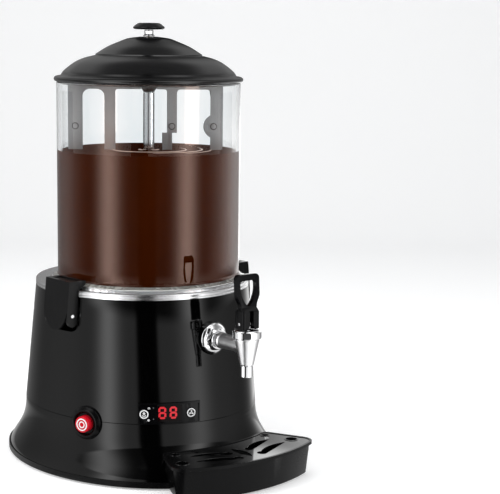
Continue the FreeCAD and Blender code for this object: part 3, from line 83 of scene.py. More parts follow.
def rounded(points, radius, steps=5):
    """Profile with its inner corners rounded: at each corner a quadratic curve runs from radius
    before it to radius after it, or to half the shorter side where that is less."""
    points = np.array(points, float)
    radii = np.broadcast_to(np.asarray(radius, float), (len(points),))
    out = [points[:1]]
    for before, corner, after, r in zip(points[:-2], points[1:-1], points[2:], radii[1:-1]):
        to_b, to_a = before - corner, after - corner
        lb, la = np.linalg.norm(to_b), np.linalg.norm(to_a)
        r = min(r, 0.49 * lb, 0.49 * la)
        start, end = corner + to_b / lb * r, corner + to_a / la * r
        t = np.linspace(0.0, 1.0, steps + 1)[:, None]
        out.append((1 - t) ** 2 * start + 2 * t * (1 - t) * corner + t ** 2 * end)
    out.append(points[-1:])
    return np.vstack(out)


def curve(points, steps=12):
    """Smooth line through points: Catmull-Rom spans, with the end points repeated."""
    points = np.array(points, float)
    padded = np.vstack([2 * points[:1] - points[1:2], points, 2 * points[-1:] - points[-2:-1]])
    t = np.linspace(0.0, 1.0, steps, endpoint=False)[:, None]
    spans = []
    for a, b, c, d in zip(padded, padded[1:], padded[2:], padded[3:]):
        spans.append(0.5 * (2 * b + (c - a) * t + (2 * a - 5 * b + 4 * c - d) * t ** 2
                            + (3 * b - a - 3 * c + d) * t ** 3))
    return np.vstack(spans + [points[-1:]])


def grid_faces(rows, cols, wrap_rows=False, wrap_cols=True):
    """Quads between neighbouring grid points, joined round where a direction wraps."""
    i = np.arange(rows if wrap_rows else rows - 1)[:, None]
    j = np.arange(cols if wrap_cols else cols - 1)[None, :]
    i2, j2 = (i + 1) % rows, (j + 1) % cols
    quads = np.stack([i * cols + j, i * cols + j2, i2 * cols + j2, i2 * cols + j], -1)
    return quads.reshape(-1, 4)


def new_object(name, data):
    """Object in the scene for a mesh, a lamp or a camera."""
    obj = bpy.data.objects.new(name, data)
    bpy.context.scene.collection.objects.link(obj)
    return obj


def new_piece(name, points, faces, angle=35.0):
    """Mesh object from points in millimetres, smooth except across edges over the angle."""
    mesh = bpy.data.meshes.new(name)
    mesh.from_pydata((np.asarray(points, float).reshape(-1, 3) * MM).tolist(), [],
                     [list(map(int, f)) for f in faces])
    merge(mesh, 2e-6, turn_out=True)
    smooth(mesh, angle)
    return new_object(name, mesh)


def merge(mesh, gap, turn_out=False):
    """Joins points closer than gap, in metres, and turns the faces outward if asked."""
    work = bmesh.new()
    work.from_mesh(mesh)
    bmesh.ops.remove_doubles(work, verts=work.verts, dist=gap)
    bmesh.ops.dissolve_degenerate(work, edges=work.edges, dist=1e-7)
    if turn_out:
        bmesh.ops.recalc_face_normals(work, faces=work.faces)
    work.to_mesh(mesh)
    work.free()


def smooth(mesh, angle):
    """Smooth shading up to an angle in degrees between faces."""
    mesh.polygons.foreach_set("use_smooth", np.ones(len(mesh.polygons), bool))
    mesh.set_sharp_from_angle(angle=math.radians(angle))


def circle(radius, turn, z):
    """Points at a radius and height, round the Z axis by each turn."""
    return np.stack([radius * np.cos(turn), radius * np.sin(turn), z + 0 * turn], -1)


def held(profile, reach=0.3, least=4.0):
    """Profile with a point near each end of its long stretches, so that smooth shading leaves them
    straight."""
    profile = np.asarray(profile, float)
    out = [profile[:1]]
    for a, b in zip(profile[:-1], profile[1:]):
        length = np.linalg.norm(b - a)
        if length > least:
            step = (b - a) / length * reach
            out.append([a + step, b - step])
        out.append([b])
    return np.vstack(out)


def turned(name, profile, segments=96, place=None, angle=35.0):
    """Surface of revolution: each (radius, height) of the profile goes round the local Z axis,
    and place, a 4x4 matrix in millimetres, puts it on the machine."""
    profile = held(profile)
    turn = np.linspace(0.0, TAU, segments, endpoint=False)
    points = circle(profile[:, :1], turn, profile[:, 1:]).reshape(-1, 3)
    if place is not None:
        points = carried(points, place)
    return new_piece(name, points, grid_faces(len(profile), segments), angle)


def carried(points, place):
    """Points put on the machine by a 4x4 matrix."""
    return points @ np.array(place.to_3x3()).T + np.array(place.translation)


def oval_points(oval, z, grow, count):
    """Points round a plan oval at height z, moved out along its normal by grow."""
    a, b, back = oval
    t = np.linspace(0.0, TAU, count, endpoint=False)
    x, y = a * np.sin(t), -b * np.cos(t)
    n = np.stack([x / a ** 2, y / b ** 2], -1)
    n /= np.linalg.norm(n, axis=-1, keepdims=True)
    return np.stack([x + grow * n[:, 0], y + back + grow * n[:, 1], np.full(count, z)], -1)


def superellipse(half_a, half_b, power=3.0, count=20):
    """Closed section |u/a|^p + |v/b|^p = 1."""
    t = np.linspace(0.0, TAU, count, endpoint=False)
    c, s = np.cos(t), np.sin(t)
    return np.stack([half_a * np.sign(c) * np.abs(c) ** (2 / power),
                     half_b * np.sign(s) * np.abs(s) ** (2 / power)], -1)


def swept(name, path, up, sections):
    """Section carried along a flat path whose plane has the normal up: point = path + u * side
    + v * rise, with the section given for each path point."""
    ahead = np.roll(path, -1, 0) - np.roll(path, 1, 0)
    ahead[0], ahead[-1] = path[1] - path[0], path[-1] - path[-2]
    ahead /= np.linalg.norm(ahead, axis=-1, keepdims=True)
    rise = np.broadcast_to(np.asarray(up, float), path.shape)
    side = np.cross(rise, ahead)
    points = (path[:, None] + sections[..., :1] * side[:, None] + sections[..., 1:] * rise[:, None])
    rows, cols = points.shape[:2]
    faces = grid_faces(rows, cols).tolist()
    faces += [list(range(cols))[::-1], [(rows - 1) * cols + k for k in range(cols)]]
    return new_piece(name, points, faces)


def slab(name, outline, thickness, place, bevel=0.0):
    """Flat outline in the local XY plane given a thickness along Z, then placed."""
    outline = np.asarray(outline, float)
    n = len(outline)
    low = np.column_stack([outline, np.zeros(n)])
    high = np.column_stack([outline, np.full(n, thickness)])
    points = np.vstack([low, high])
    faces = [list(range(n))[::-1], list(range(n, 2 * n))]
    faces += [[k, (k + 1) % n, n + (k + 1) % n, n + k] for k in range(n)]
    obj = new_piece(name, carried(points, place), faces)
    if bevel:
        soften(obj, bevel)
    return obj


def soften(obj, width):
    """Rounds a piece's sharp edges by width, in millimetres."""
    mod = obj.modifiers.new("edges", "BEVEL")
    mod.width = width * MM
    mod.segments = 2
    mod.limit_method = "ANGLE"
    mod.angle_limit = math.radians(40.0)
    mod.harden_normals = True
    mod.use_clamp_overlap = True


def placed(point, *axes):
    """4x4 matrix that has its three axes and its origin in the given directions and place."""
    place = Matrix(axes).transposed().to_4x4()
    place.translation = Vector(point)
    return place


def facing(point, normal):
    """Place with its local Z along a level normal and its local Y up."""
    n = Vector(normal).normalized()
    side = Vector((0, 0, 1)).cross(n).normalized()
    return placed(point, side, n.cross(side), n)


def body_oval(z):
    """Half axes and middle of the upper housing's oval at a height."""
    share = (z - seam_z) / (deck_z - seam_z)
    return [s + (d - s) * share for s, d in zip(seam_oval, deck_oval)]


def wall_place(x, z, out=0.0):
    """Place on the front of the housing at x and z, its Z axis along the level normal."""
    a, b, back = body_oval(z)
    y = back - b * math.sqrt(1.0 - (x / a) ** 2)
    n = Vector((x / a ** 2, (y - back) / b ** 2, 0.0)).normalized()
    return facing(Vector((x, y, z)) + n * out, n)


def cad_copy(node, slot, bevel=0.0, angle=30.0):
    """Merged, smooth copy of a CAD node that stands for it, with softened edges."""
    mesh = frame["nodes"][node].data.copy()
    mesh.materials.clear()
    merge(mesh, 1e-6)
    obj = new_object(node + "_skin", mesh)
    smooth(mesh, angle)
    if bevel:
        flatten(mesh)
        smooth(mesh, angle)
        soften(obj, bevel)
    return fit(obj, slot, node)


def wall_form(points):
    """Outward normal of the upper housing and height off it, for points in millimetres. The plan
    oval (x / a)^2 + ((y - back) / b)^2 = 1 has a, b and back linear in z, and the normal is the
    gradient of the left side."""
    x, y, z = points.T
    return oval_form(x, y, z, *body_oval(z), np.subtract(deck_oval, seam_oval) / (deck_z - seam_z))


def skirt_form(points):
    """The same for the skirt, whose share of the flare is a smooth function of the height."""
    x, y, z = points.T
    seam, base = np.array(seam_oval), np.array(base_oval)
    share = np.polyval(flare_curve, z)
    slope = np.polyval(np.polyder(flare_curve), z)
    return oval_form(x, y, z, *(seam[:, None] + (base - seam)[:, None] * share),
                     (base - seam)[:, None] * slope)


def oval_form(x, y, z, a, b, back, change):
    """Normal and height off an oval wall with the half axes a and b and the middle's y back, and
    with the change of the three with height."""
    u, v = x / a, (y - back) / b
    level = np.sqrt(u ** 2 + v ** 2)
    rise = -(u ** 2 / a * change[0] + v / b * (v * change[1] + change[2]))
    normal = np.stack([u / a, v / b, rise], -1)
    normal /= np.linalg.norm(normal, axis=-1, keepdims=True)
    return normal, (level - 1.0) * a


def true_normals(obj, form, reach=0.25, turn=0.97):
    """Shades a moulded wall with the normals of its form instead of those of its triangles."""
    mesh = obj.data
    points = np.empty(len(mesh.vertices) * 3)
    mesh.vertices.foreach_get("co", points)
    normal, off = form(points.reshape(-1, 3) / MM)
    corner = np.empty(len(mesh.loops), int)
    mesh.loops.foreach_get("vertex_index", corner)
    counts = np.empty(len(mesh.polygons), int)
    mesh.polygons.foreach_get("loop_total", counts)
    flat = np.empty(len(mesh.polygons) * 3)
    mesh.polygons.foreach_get("normal", flat)
    flat = np.repeat(flat.reshape(-1, 3), counts, axis=0)
    on_wall = (np.abs(off[corner]) < reach) & (np.sum(flat * normal[corner], -1) > turn)
    mesh.normals_split_custom_set(np.where(on_wall[:, None], normal[corner], 0.0).tolist())


def flatten(mesh):
    """Joins the coplanar triangles of a CAD mesh so that a bevel runs cleanly."""
    work = bmesh.new()
    work.from_mesh(mesh)
    bmesh.ops.dissolve_limit(work, angle_limit=math.radians(1.0), verts=work.verts,
                             edges=work.edges, delimit=set())
    work.to_mesh(mesh)
    work.free()


# ================= finishes =================

def node_group(name, inputs, outputs):
    """Node group with the named inputs (name, kind, value) and outputs (name, kind)."""
    tree = bpy.data.node_groups.new(name, "ShaderNodeTree")
    for label, kind, value in inputs:
        socket = tree.interface.new_socket(label, in_out="INPUT", socket_type=kind)
        socket.default_value = value
    for label, kind in outputs:
        tree.interface.new_socket(label, in_out="OUTPUT", socket_type=kind)
    return tree, tree.nodes.new("NodeGroupInput").outputs, tree.nodes.new("NodeGroupOutput").inputs


def feed(tree, socket, value):
    """Links an input to another node's output, or gives it a plain value."""
    if isinstance(value, bpy.types.NodeSocket):
        tree.links.new(value, socket)
    else:
        socket.default_value = value


def add(tree, kind, **values):
    """New node; each value is for a property of it or, with _ for a space, for an input."""
    node = tree.nodes.new(kind)
    for key, value in values.items():
        if hasattr(node, key):
            setattr(node, key, value)
        else:
            feed(tree, node.inputs[key.replace("_", " ")], value)
    return node


def maths(tree, operation, *values, kind="ShaderNodeMath"):
    """Output of a math node for the given values."""
    node = add(tree, kind, operation=operation)
    for socket, value in zip(node.inputs, values):
        feed(tree, socket, value)
    return node.outputs[0]


def surface_results(tree, given, results, level, rough, height, reach):
    """Ends a surface group: the colour times level, the roughness, and a bump of the height."""
    tint = add(tree, "ShaderNodeVectorMath", operation="SCALE", Scale=level)
    feed(tree, tint.inputs[0], given["Colour"])
    bump = add(tree, "ShaderNodeBump", Distance=reach, Strength=given["Depth"], Height=height)
    feed(tree, results["Colour"], tint.outputs[0])
    feed(tree, results["Roughness"], rough)
    feed(tree, results["Normal"], bump.outputs[0])
    return tree


surface_outputs = [("Colour", "NodeSocketColor"), ("Roughness", "NodeSocketFloat"),
                   ("Normal", "NodeSocketVector")]


def moulded_grain():
    """Fine moulded or dusted surface: a noise gives colour variation, roughness and a bump."""
    tree, given, results = node_group(
        "moulded grain",
        [("Colour", "NodeSocketColor", (0.02, 0.02, 0.02, 1)), ("Shade", "NodeSocketFloat", 0.1),
         ("Grain size", "NodeSocketFloat", 900.0), ("Depth", "NodeSocketFloat", 0.1),
         ("Roughness", "NodeSocketFloat", 0.3), ("Wear", "NodeSocketFloat", 0.06)], surface_outputs)
    coords = add(tree, "ShaderNodeTexCoord").outputs["Object"]
    fine = add(tree, "ShaderNodeTexNoise", Vector=coords, Scale=given["Grain size"], Detail=3.0)
    broad = add(tree, "ShaderNodeTexNoise", Vector=coords, Scale=14.0, Detail=6.0)
    both = maths(tree, "MULTIPLY", fine.outputs["Fac"], broad.outputs["Fac"])
    lift = add(tree, "ShaderNodeMapRange", Value=both, From_Min=0.12, From_Max=0.4).outputs[0]
    half = maths(tree, "MULTIPLY", given["Shade"], 0.5)
    level = maths(tree, "SUBTRACT", maths(tree, "MULTIPLY_ADD", lift, given["Shade"], 1.0), half)
    rough = maths(tree, "MULTIPLY_ADD", lift, given["Wear"], given["Roughness"])
    return surface_results(tree, given, results, level, rough, fine.outputs["Fac"], 0.0002)


def brushed_lines():
    """Brushed or turned metal: a noise stretched along one direction of the object."""
    tree, given, results = node_group(
        "brushed lines",
        [("Colour", "NodeSocketColor", (0.6, 0.6, 0.6, 1)),
         ("Stretch", "NodeSocketVector", (1, 1, 1)), ("Depth", "NodeSocketFloat", 0.1),
         ("Roughness", "NodeSocketFloat", 0.25), ("Wear", "NodeSocketFloat", 0.12)],
        surface_outputs)
    coords = add(tree, "ShaderNodeTexCoord").outputs["Object"]
    scaled = maths(tree, "MULTIPLY", coords, given["Stretch"], kind="ShaderNodeVectorMath")
    lines = add(tree, "ShaderNodeTexNoise", Vector=scaled, Scale=1.0, Detail=4.0).outputs["Fac"]
    level = add(tree, "ShaderNodeMapRange", Value=lines, To_Min=0.88, To_Max=1.08).outputs[0]
    rough = maths(tree, "MULTIPLY_ADD", lines, given["Wear"], given["Roughness"])
    return surface_results(tree, given, results, level, rough, lines, 0.0001)


grain_group = moulded_grain()
brush_group = brushed_lines()


def start_material(name, **sockets):
    """Material whose Principled shader has the given inputs, with _ for a space."""
    mat = bpy.data.materials.new(name)
    mat.use_nodes = True
    shader = mat.node_tree.nodes["Principled BSDF"]
    for key, value in sockets.items():
        shader.inputs[key.replace("_", " ")].default_value = value
    return mat, mat.node_tree, shader


def surfaced(name, group, given, sockets):
    """Material whose colour, roughness and normal come from a surface group."""
    mat, tree, shader = start_material(name, **sockets)
    results = add(tree, "ShaderNodeGroup", node_tree=group, **given).outputs
    for key, result in (("Base Color", "Colour"), ("Roughness", "Roughness"), ("Normal", "Normal")):
        feed(tree, shader.inputs[key], results[result])
    return mat


def moulded(name, colour, roughness, shade, grain, depth, wear, gloss=0.5, **sockets):
    """Plastic or rubber with the moulded grain; 0.5 is plain plastic's full gloss."""
    given = dict(Colour=(*colour, 1), Shade=shade, Grain_size=grain, Depth=depth,
                 Roughness=roughness, Wear=wear)
    return surfaced(name, grain_group, given, dict(sockets, Specular_IOR_Level=gloss))


def metal(name, colour, roughness, stretch, depth, wear):
    """Metal with brushed or turned lines; stretch is the lines' scale along X, Y and Z."""
    given = dict(Colour=(*colour, 1), Stretch=stretch, Depth=depth, Roughness=roughness, Wear=wear)
    return surfaced(name, brush_group, given, dict(Metallic=1.0))


def clear_plastic(name):
    """Clear moulded bowl. Rays from lamps pass, so that what is inside is lit, and its gloss is
    warm, as over the drink that wets it."""
    mat, tree, shader = start_material(
        name, Metallic=0.0, IOR=1.49, Transmission_Weight=1.0, Roughness=0.0,
        Base_Color=(0.985, 0.99, 0.99, 1), Specular_Tint=(1.0, 0.70, 0.59, 1))
    clear = add(tree, "ShaderNodeBsdfTransparent", Color=(0.96, 0.97, 0.97, 1))
    mix = add(tree, "ShaderNodeMixShader")
    shadow = add(tree, "ShaderNodeLightPath").outputs["Is Shadow Ray"]
    for socket, value in zip(mix.inputs, (shadow, shader.outputs[0], clear.outputs[0])):
        feed(tree, socket, value)
    feed(tree, tree.nodes["Material Output"].inputs["Surface"], mix.outputs[0])
    return mat


def noise_colour(tree, shader_input, vector, stops, **noise):
    """Feeds a colour that goes with a noise between two stops (position, colour)."""
    cloud = add(tree, "ShaderNodeTexNoise", Vector=vector, **noise)
    ramp = add(tree, "ShaderNodeValToRGB")
    for element, (position, colour) in zip(ramp.color_ramp.elements, stops):
        element.position, element.color = position, (*colour, 1)
    feed(tree, ramp.inputs[0], cloud.outputs["Fac"])
    feed(tree, shader_input, ramp.outputs[0])


def drink(name):
    """Dark drinking chocolate: brown with slow darker swirls. The bowl over it has the gloss."""
    mat, tree, shader = start_material(name, Metallic=0.0, IOR=1.36, Specular_IOR_Level=0.0,
                                       Roughness=0.12)
    coords = add(tree, "ShaderNodeTexCoord").outputs["Object"]
    place = add(tree, "ShaderNodeMapping", Scale=(9.0, 9.0, 3.0), Vector=coords).outputs[0]
    stops = ((0.3, (0.029, 0.0050, 0.0006)), (0.75, (0.038, 0.0067, 0.0009)))
    noise_colour(tree, shader.inputs["Base Color"], place, stops,
                 Scale=1.6, Detail=3.0, Distortion=1.2)
    return mat


def glowing(name, colour, strength):
    """Lit marks: emission on a dark base, with a faint mottling."""
    mat, tree, shader = start_material(name, Emission_Strength=strength, Roughness=0.3,
                                       Base_Color=(0.02, 0.0, 0.0, 1))
    coords = add(tree, "ShaderNodeTexCoord").outputs["Object"]
    stops = ((0.0, [c * 0.8 for c in colour]), (1.0, colour))
    noise_colour(tree, shader.inputs["Emission Color"], coords, stops, Scale=1500.0)
    return mat


# moulded: colour, roughness, shade, grain, depth, wear, gloss
finishes = {
    "housing_black": moulded("gloss black housing", (0.0007, 0.0007, 0.00075), 0.045, 0.2, 700,
                             0.012, 0.03, 0.25),
    "lid_black": moulded("gloss black lid", (0.0035, 0.0035, 0.0037), 0.17, 0.3, 800, 0.05, 0.07),
    "knob_black": moulded("gloss black knob", (0.010, 0.010, 0.0105), 0.12, 0.2, 900, 0.03, 0.05,
                          0.25),
    "handle_black": moulded("gloss black handle", (0.003, 0.003, 0.0034), 0.1, 0.3, 900, 0.03,
                            0.06, 0.12),
    "clip_black": moulded("satin black clip", (0.003, 0.003, 0.0032), 0.16, 0.3, 900, 0.06, 0.08,
                          0.12),
    "bezel_black": moulded("gloss black bezel", (0.003, 0.003, 0.0032), 0.14, 0.3, 900, 0.04, 0.06,
                           0.12),
    "panel_black": moulded("gloss black panel", (0.0025, 0.0025, 0.0028), 0.08, 0.2, 900, 0.02,
                           0.04, 0.12),
    "hub_black": moulded("gloss black hub", (0.012, 0.012, 0.012), 0.12, 0.2, 900, 0.03, 0.05),
    "base_black": moulded("matt black base", (0.004, 0.004, 0.0042), 0.3, 0.4, 1300, 0.2, 0.12,
                          0.12),
    "tray_black": moulded("fine matt tray", (0.0035, 0.0035, 0.0037), 0.2, 0.4, 1500, 0.1, 0.08,
                          0.12),
    "grate_black": moulded("gloss black grate", (0.003, 0.003, 0.0032), 0.04, 0.3, 900, 0.012,
                           0.03),
    "rubber_black": moulded("black rubber", (0.02, 0.02, 0.02), 0.75, 0.5, 1200, 0.3, 0.1),
    "nylon_black": moulded("black nylon", (0.02, 0.02, 0.021), 0.42, 0.4, 1000, 0.15, 0.1),
    "dark_plastic": moulded("dark plastic", (0.04, 0.04, 0.043), 0.5, 0.4, 1000, 0.15, 0.1),
    "white_plastic": moulded("white plastic", (0.75, 0.75, 0.72), 0.45, 0.08, 1000, 0.1, 0.08),
    "silicone": moulded("white silicone", (0.68, 0.67, 0.64), 0.55, 0.1, 800, 0.1, 0.08),
    "motor_paint": moulded("dark motor paint", (0.05, 0.05, 0.055), 0.4, 0.3, 1200, 0.2, 0.1),
    "window_dark": moulded("dark window", (0.0040, 0.0015, 0.0015), 0.06, 0.2, 900, 0.01, 0.02,
                           0.12),
    # the button's faint red emission is a painted glow that lifts its red; the button is no lamp
    "switch_red": moulded("red button, painted glow", (0.55, 0.008, 0.02), 0.16, 0.12, 900, 0.03, 0.05, 0.12,
                          Emission_Color=(0.8, 0.01, 0.02, 1), Emission_Strength=0.06),
    "key_white": moulded("white key", (0.8, 0.8, 0.8), 0.3, 0.06, 900, 0.04, 0.05),
    # metal: colour, roughness, stretch, depth, wear
    "deck_steel": metal("brushed deck", (0.72, 0.72, 0.73), 0.17, (60, 60, 2200), 0.04, 0.12),
    "pot_steel": metal("drawn pot", (0.62, 0.62, 0.63), 0.28, (40, 40, 900), 0.05, 0.12),
    "heater_steel": metal("heater sheath", (0.42, 0.41, 0.4), 0.42, (200, 200, 200), 0.08, 0.15),
    "brass_parts": metal("turned brass", (0.72, 0.53, 0.25), 0.25, (900, 900, 60), 0.05, 0.12),
    "gearbox_aluminium": metal("cast aluminium", (0.58, 0.58, 0.59), 0.42, (500, 500, 500), 0.15,
                               0.15),
    "bracket_steel": metal("zinc plated steel", (0.55, 0.56, 0.58), 0.35, (300, 300, 300), 0.08,
                           0.15),
    "pin_steel": metal("bright steel", (0.6, 0.6, 0.61), 0.2, (300, 300, 1200), 0.03, 0.1),
    "blade_steel": metal("dull blade steel", (0.40, 0.405, 0.41), 0.34, (1200, 1200, 40), 0.05,
                         0.14),
    "tap_chrome": metal("polished chrome", (0.80, 0.80, 0.81), 0.045, (250, 250, 250), 0.01, 0.03),
    "column_chrome": metal("chromed column", (0.76, 0.76, 0.77), 0.09, (700, 700, 30), 0.02, 0.05),
    "clear_bowl": clear_plastic("clear bowl"),
    "chocolate": drink("drinking chocolate"),
}
satin_chrome = metal("satin chrome", (0.9, 0.9, 0.91), 0.27, (250, 250, 250), 0.01, 0.04)
# pale colour of the drink's wave crests: a painted highlight
crest_painted_highlight = moulded("crests with painted highlight", (0.62, 0.44, 0.36), 0.35, 0.1, 900, 0.02, 0.04)
# near-black colour on the blades' edges and rivet rings: painted shade
blade_edge_painted_shade = metal("blade edge painted shade", (0.035, 0.035, 0.037), 0.3, (300, 300, 300), 0.05, 0.1)
white_marks = moulded("printed white marks", (0.9, 0.9, 0.9), 0.4, 0.08, 900, 0.02, 0.04)
grey_marks = moulded("printed grey marks", (0.09, 0.09, 0.095), 0.35, 0.1, 900, 0.02, 0.04)
red_glow = glowing("lit red segments", (0.76, 0.02, 0.034), 1.0)

body_of_node = {node: body for body, nodes in frame["record"]["behaviour"]["bodies"].items()
                for node in nodes}
slot_of_node = {part["node"]: part["material_slot"] for part in frame["record"]["subparts"]}


def fit(obj, slot, *nodes, body=None, material=None):
    """Gives a piece its finish and body, and lets it stand for CAD nodes."""
    obj.data.materials.clear()
    obj.data.materials.append(material or finishes[slot])
    if nodes:
        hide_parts(*nodes)
    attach(obj, body or body_of_node[nodes[0]])
    return obj


for node, obj in frame["nodes"].items():
    obj.data.materials.clear()
    obj.data.materials.append(finishes[slot_of_node[node]])


# ================= lid =================

def make_lid():
    """Lid: two domes with a groove between, a rolled flange and the hollow under them."""
    z = rim_z
    upper = curve([(9.5, z + 48.9), (22.0, z + 47.2), (31.0, z + 44.0), (45.0, z + 37.9),
                   (57.4, z + 30.2)], 8)
    groove = [(57.6, z + 28.9), (58.5, z + 28.2)]
    lower = curve([(59.3, z + 28.6), (70.5, z + 25.6), (80.6, z + 20.8), (91.4, z + 12.4),
                   (94.4, z + 8.2)], 8)
    flange = rounded([(94.4, z + 8.2), (95.6, z + 6.9), (99.8, z + 6.8), (102.2, z + 5.0),
                      (102.2, z + 2.0), (99.3, z + 0.3), (95.0, z + 0.3), (95.0, z - 1.9),
                      (92.9, z - 1.9), (92.2, z + 7.4)], 1.5, 6)
    inner = curve([(92.0, z + 8.0), (88.6, z + 11.5), (78.9, z + 18.8), (69.2, z + 23.4),
                   (58.0, z + 26.1), (44.0, z + 35.4), (30.0, z + 41.5), (20.0, z + 44.8),
                   (6.4, z + 46.2)], 6)
    top = [(6.4, z + 48.9)]
    profile = np.vstack([top, upper, groove, lower, flange[1:], inner, top])
    fit(turned("lid", profile, 192), "lid_black", "lid_shell")


def make_knob():
    """Knob: a chrome stem with a washer, and the black mushroom grip."""
    z = rim_z + 49.1
    stem = rounded([(0.01, z - 9.0), (2.5, z - 9.0), (2.5, z), (6.2, z), (6.2, z + 1.2),
                    (4.9, z + 2.2), (4.9, z + 7.2), (0.01, z + 7.2)], 0.5, 3)
    fit(turned("lid_stem", stem, 48), "tap_chrome", "knob_stem")
    low = z + 7.4
    top = rounded([(0.01, low), (6.0, low), (15.0, low + 0.2), (16.9, low + 1.2), (17.2, low + 2.6),
                   (14.5, low + 4.9), (11.2, low + 7.1), (0.01, low + 7.2)], 1.6, 5)
    fit(turned("lid_grip", top, 96), "knob_black", "lid_knob")


# ================= bowl, drink, column and blades =================

def make_bowl():
    """Clear bowl: a straight wall on a bevelled foot flange, with a hollow under the flange."""
    lip = deck_top + 0.3
    inner_lip = bowl_r + 4.6
    foot = bowl_r + 8.4
    profile = rounded([(bowl_in, bowl_z), (inner_lip, bowl_z), (inner_lip, lip), (foot, lip),
                       (foot, lip + 1.8), (bowl_r + 2.1, lip + 5.8), (bowl_r, lip + 8.4),
                       (bowl_r, rim_z), (bowl_in, rim_z), (bowl_in, bowl_z)], 0.7, 4)
    fit(turned("clear_bowl", profile, 192), "clear_bowl", "bowl")


def make_drink():
    """Drink: a turned body whose top is z = level + dish(r) + ripple, where the ripple is the
    cosine of the radius plus the turn, so that its ridges wind round the column."""
    radii = np.concatenate([np.linspace(column_r + 0.3, 22, 24), np.linspace(23.5, wet_r, 60)])
    turn = np.linspace(0.0, TAU, 240, endpoint=False)
    r, t = radii[:, None], turn[None, :]
    share = (r - radii[0]) / (radii[-1] - radii[0])
    fade = np.sin(np.pi * np.clip(share, 0, 1)) ** 0.5
    ripple = 0.45 * fade * np.exp(-share * 1.2) * np.cos(r * 0.42 + 2 * t + 0.5 * np.sin(t))
    dish = -1.0 * np.exp(-((r - column_r) / 9.0) ** 2)
    top = liquid_z - 0.7 + dish + ripple
    top[-1] += 0.25
    rim = [(wet_r, liquid_z - 1.2), (60.0, liquid_z - 4.0), (column_r + 0.3, liquid_z - 4.0)]
    under = [circle(radius, turn, z) for radius, z in rim]
    points = np.concatenate([circle(r, t, top), np.stack(under)])
    faces = grid_faces(len(points), len(turn), wrap_rows=True)
    fit(new_piece("drink_top", points, faces, 60.0), "chocolate", "hot_chocolate")
    side = [(radius, z - 0.02) for radius, z in rim[::-1]]
    side += [(wet_r, bowl_z + 0.2), (pot_r, bowl_z - 0.1), (pot_r, pot_step_z),
             (pot_well_r, pot_well_z), (pot_well_r, pot_floor_z), (column_r + 0.3, pot_floor_z),
             side[0]]
    fit(turned("drink_body", side, 192), "chocolate", "hot_chocolate")
    # the crests are low ridges coloured pale as a painted highlight
    for k, crest in enumerate(crests):
        ridge = drink_crest(f"drink_crest{k}", *crest)
        fit(ridge, "chocolate", body="machine", material=crest_painted_highlight)


# crests, pale as a painted highlight: first and last turn from the camera's side in degrees,
# radius at each, and half width
crests = ((-95.0, 128.0, 38.5, 41.0, 1.5), (8.0, 122.0, 50.5, 60.5, 1.4),
          (40.0, 98.0, 65.5, 68.0, 1.2), (-100.0, -30.0, 10.2, 10.2, 1.6),
          (25.0, 110.0, 10.2, 10.2, 1.6))


def drink_crest(name, start, end, r_start, r_end, half):
    """Wave crest: a low ridge along r = r_start + (r_end - r_start) * share, which thins out to
    both ends as the square root of a half sine."""
    share = np.linspace(0.0, 1.0, 49)
    turn = np.radians(start + (end - start) * share) + camera_heading - math.pi / 2
    path = circle(r_start + (r_end - r_start) * share, turn, liquid_z - 0.55)
    width = half * np.sqrt(np.sin(math.pi * np.clip(share, 0.004, 0.996)))
    ridge = superellipse(1.0, 0.36, 2.0, 12)
    return swept(name, path, (0, 0, 1), width[:, None, None] * ridge[None])


def make_column():
    """Column tube, and the black cap nut that closes the stirring frame on it."""
    tube = rounded([(column_bore, column_low), (column_r, column_low), (column_r, column_top),
                    (5.6, column_top)], 0.3, 3)
    tube = np.vstack([tube, [(column_bore, column_top), (column_bore, column_low)]])
    fit(turned("column", tube, 64), "column_chrome", "column_tube")
    low, top = column_top + 0.6, rim_z + 1.5
    cap = rounded([(column_bore, low), (6.3, low), (6.4, 402.2), (8.3, 404.4), (8.5, 409.4),
                   (7.0, top - 0.6), (0.01, top)], 0.8, 4)
    cap = np.vstack([cap, [(0.01, top - 4.0), (column_bore, top - 4.0), (column_bore, low)]])
    fit(turned("blade_hub", cap, 64), "hub_black", "hub")


def make_blades():
    """Blades: the CAD sheet with softened edges in a dark painted shade, and a raised ring in the
    same painted shade round each rivet.
    """
    along = Vector((math.cos(blade_turn), math.sin(blade_turn), 0.0))
    out = Vector((math.sin(blade_turn), -math.cos(blade_turn), 0.0))
    for node in ("left_blade", "right_blade"):
        blade = cad_copy(node, "blade_steel", 0.5)
        # edge faces and bevels take the dark painted shade
        blade.data.materials.append(blade_edge_painted_shade)
        blade.modifiers["edges"].material = 1
        for face in blade.data.polygons:
            face.material_index = int(abs(face.normal.dot(out)) < 0.7)
    head = rounded([(0.01, 0.0), (2.9, 0.0), (2.9, 0.5), (0.01, 0.6)], 0.3, 3)
    ring = [(2.9, 0.0), (3.7, 0.0), (3.7, 0.15), (2.9, 0.3), (2.9, 0.0)]
    for label, offset in (("left_rivet", -79.6), ("inner_rivet", 25.0), ("outer_rivet", 70.4)):
        place = facing(along * offset + out * 1.5 + Vector((0, 0, rivet_z)), out)
        fit(turned(label, head, 32, place), "blade_steel", body="agitator")
        # the ring round each rivet is in the dark painted shade
        fit(turned(label + "_ring", ring, 32, place), "blade_steel", body="agitator",
            material=blade_edge_painted_shade)


# ================= housing and deck =================

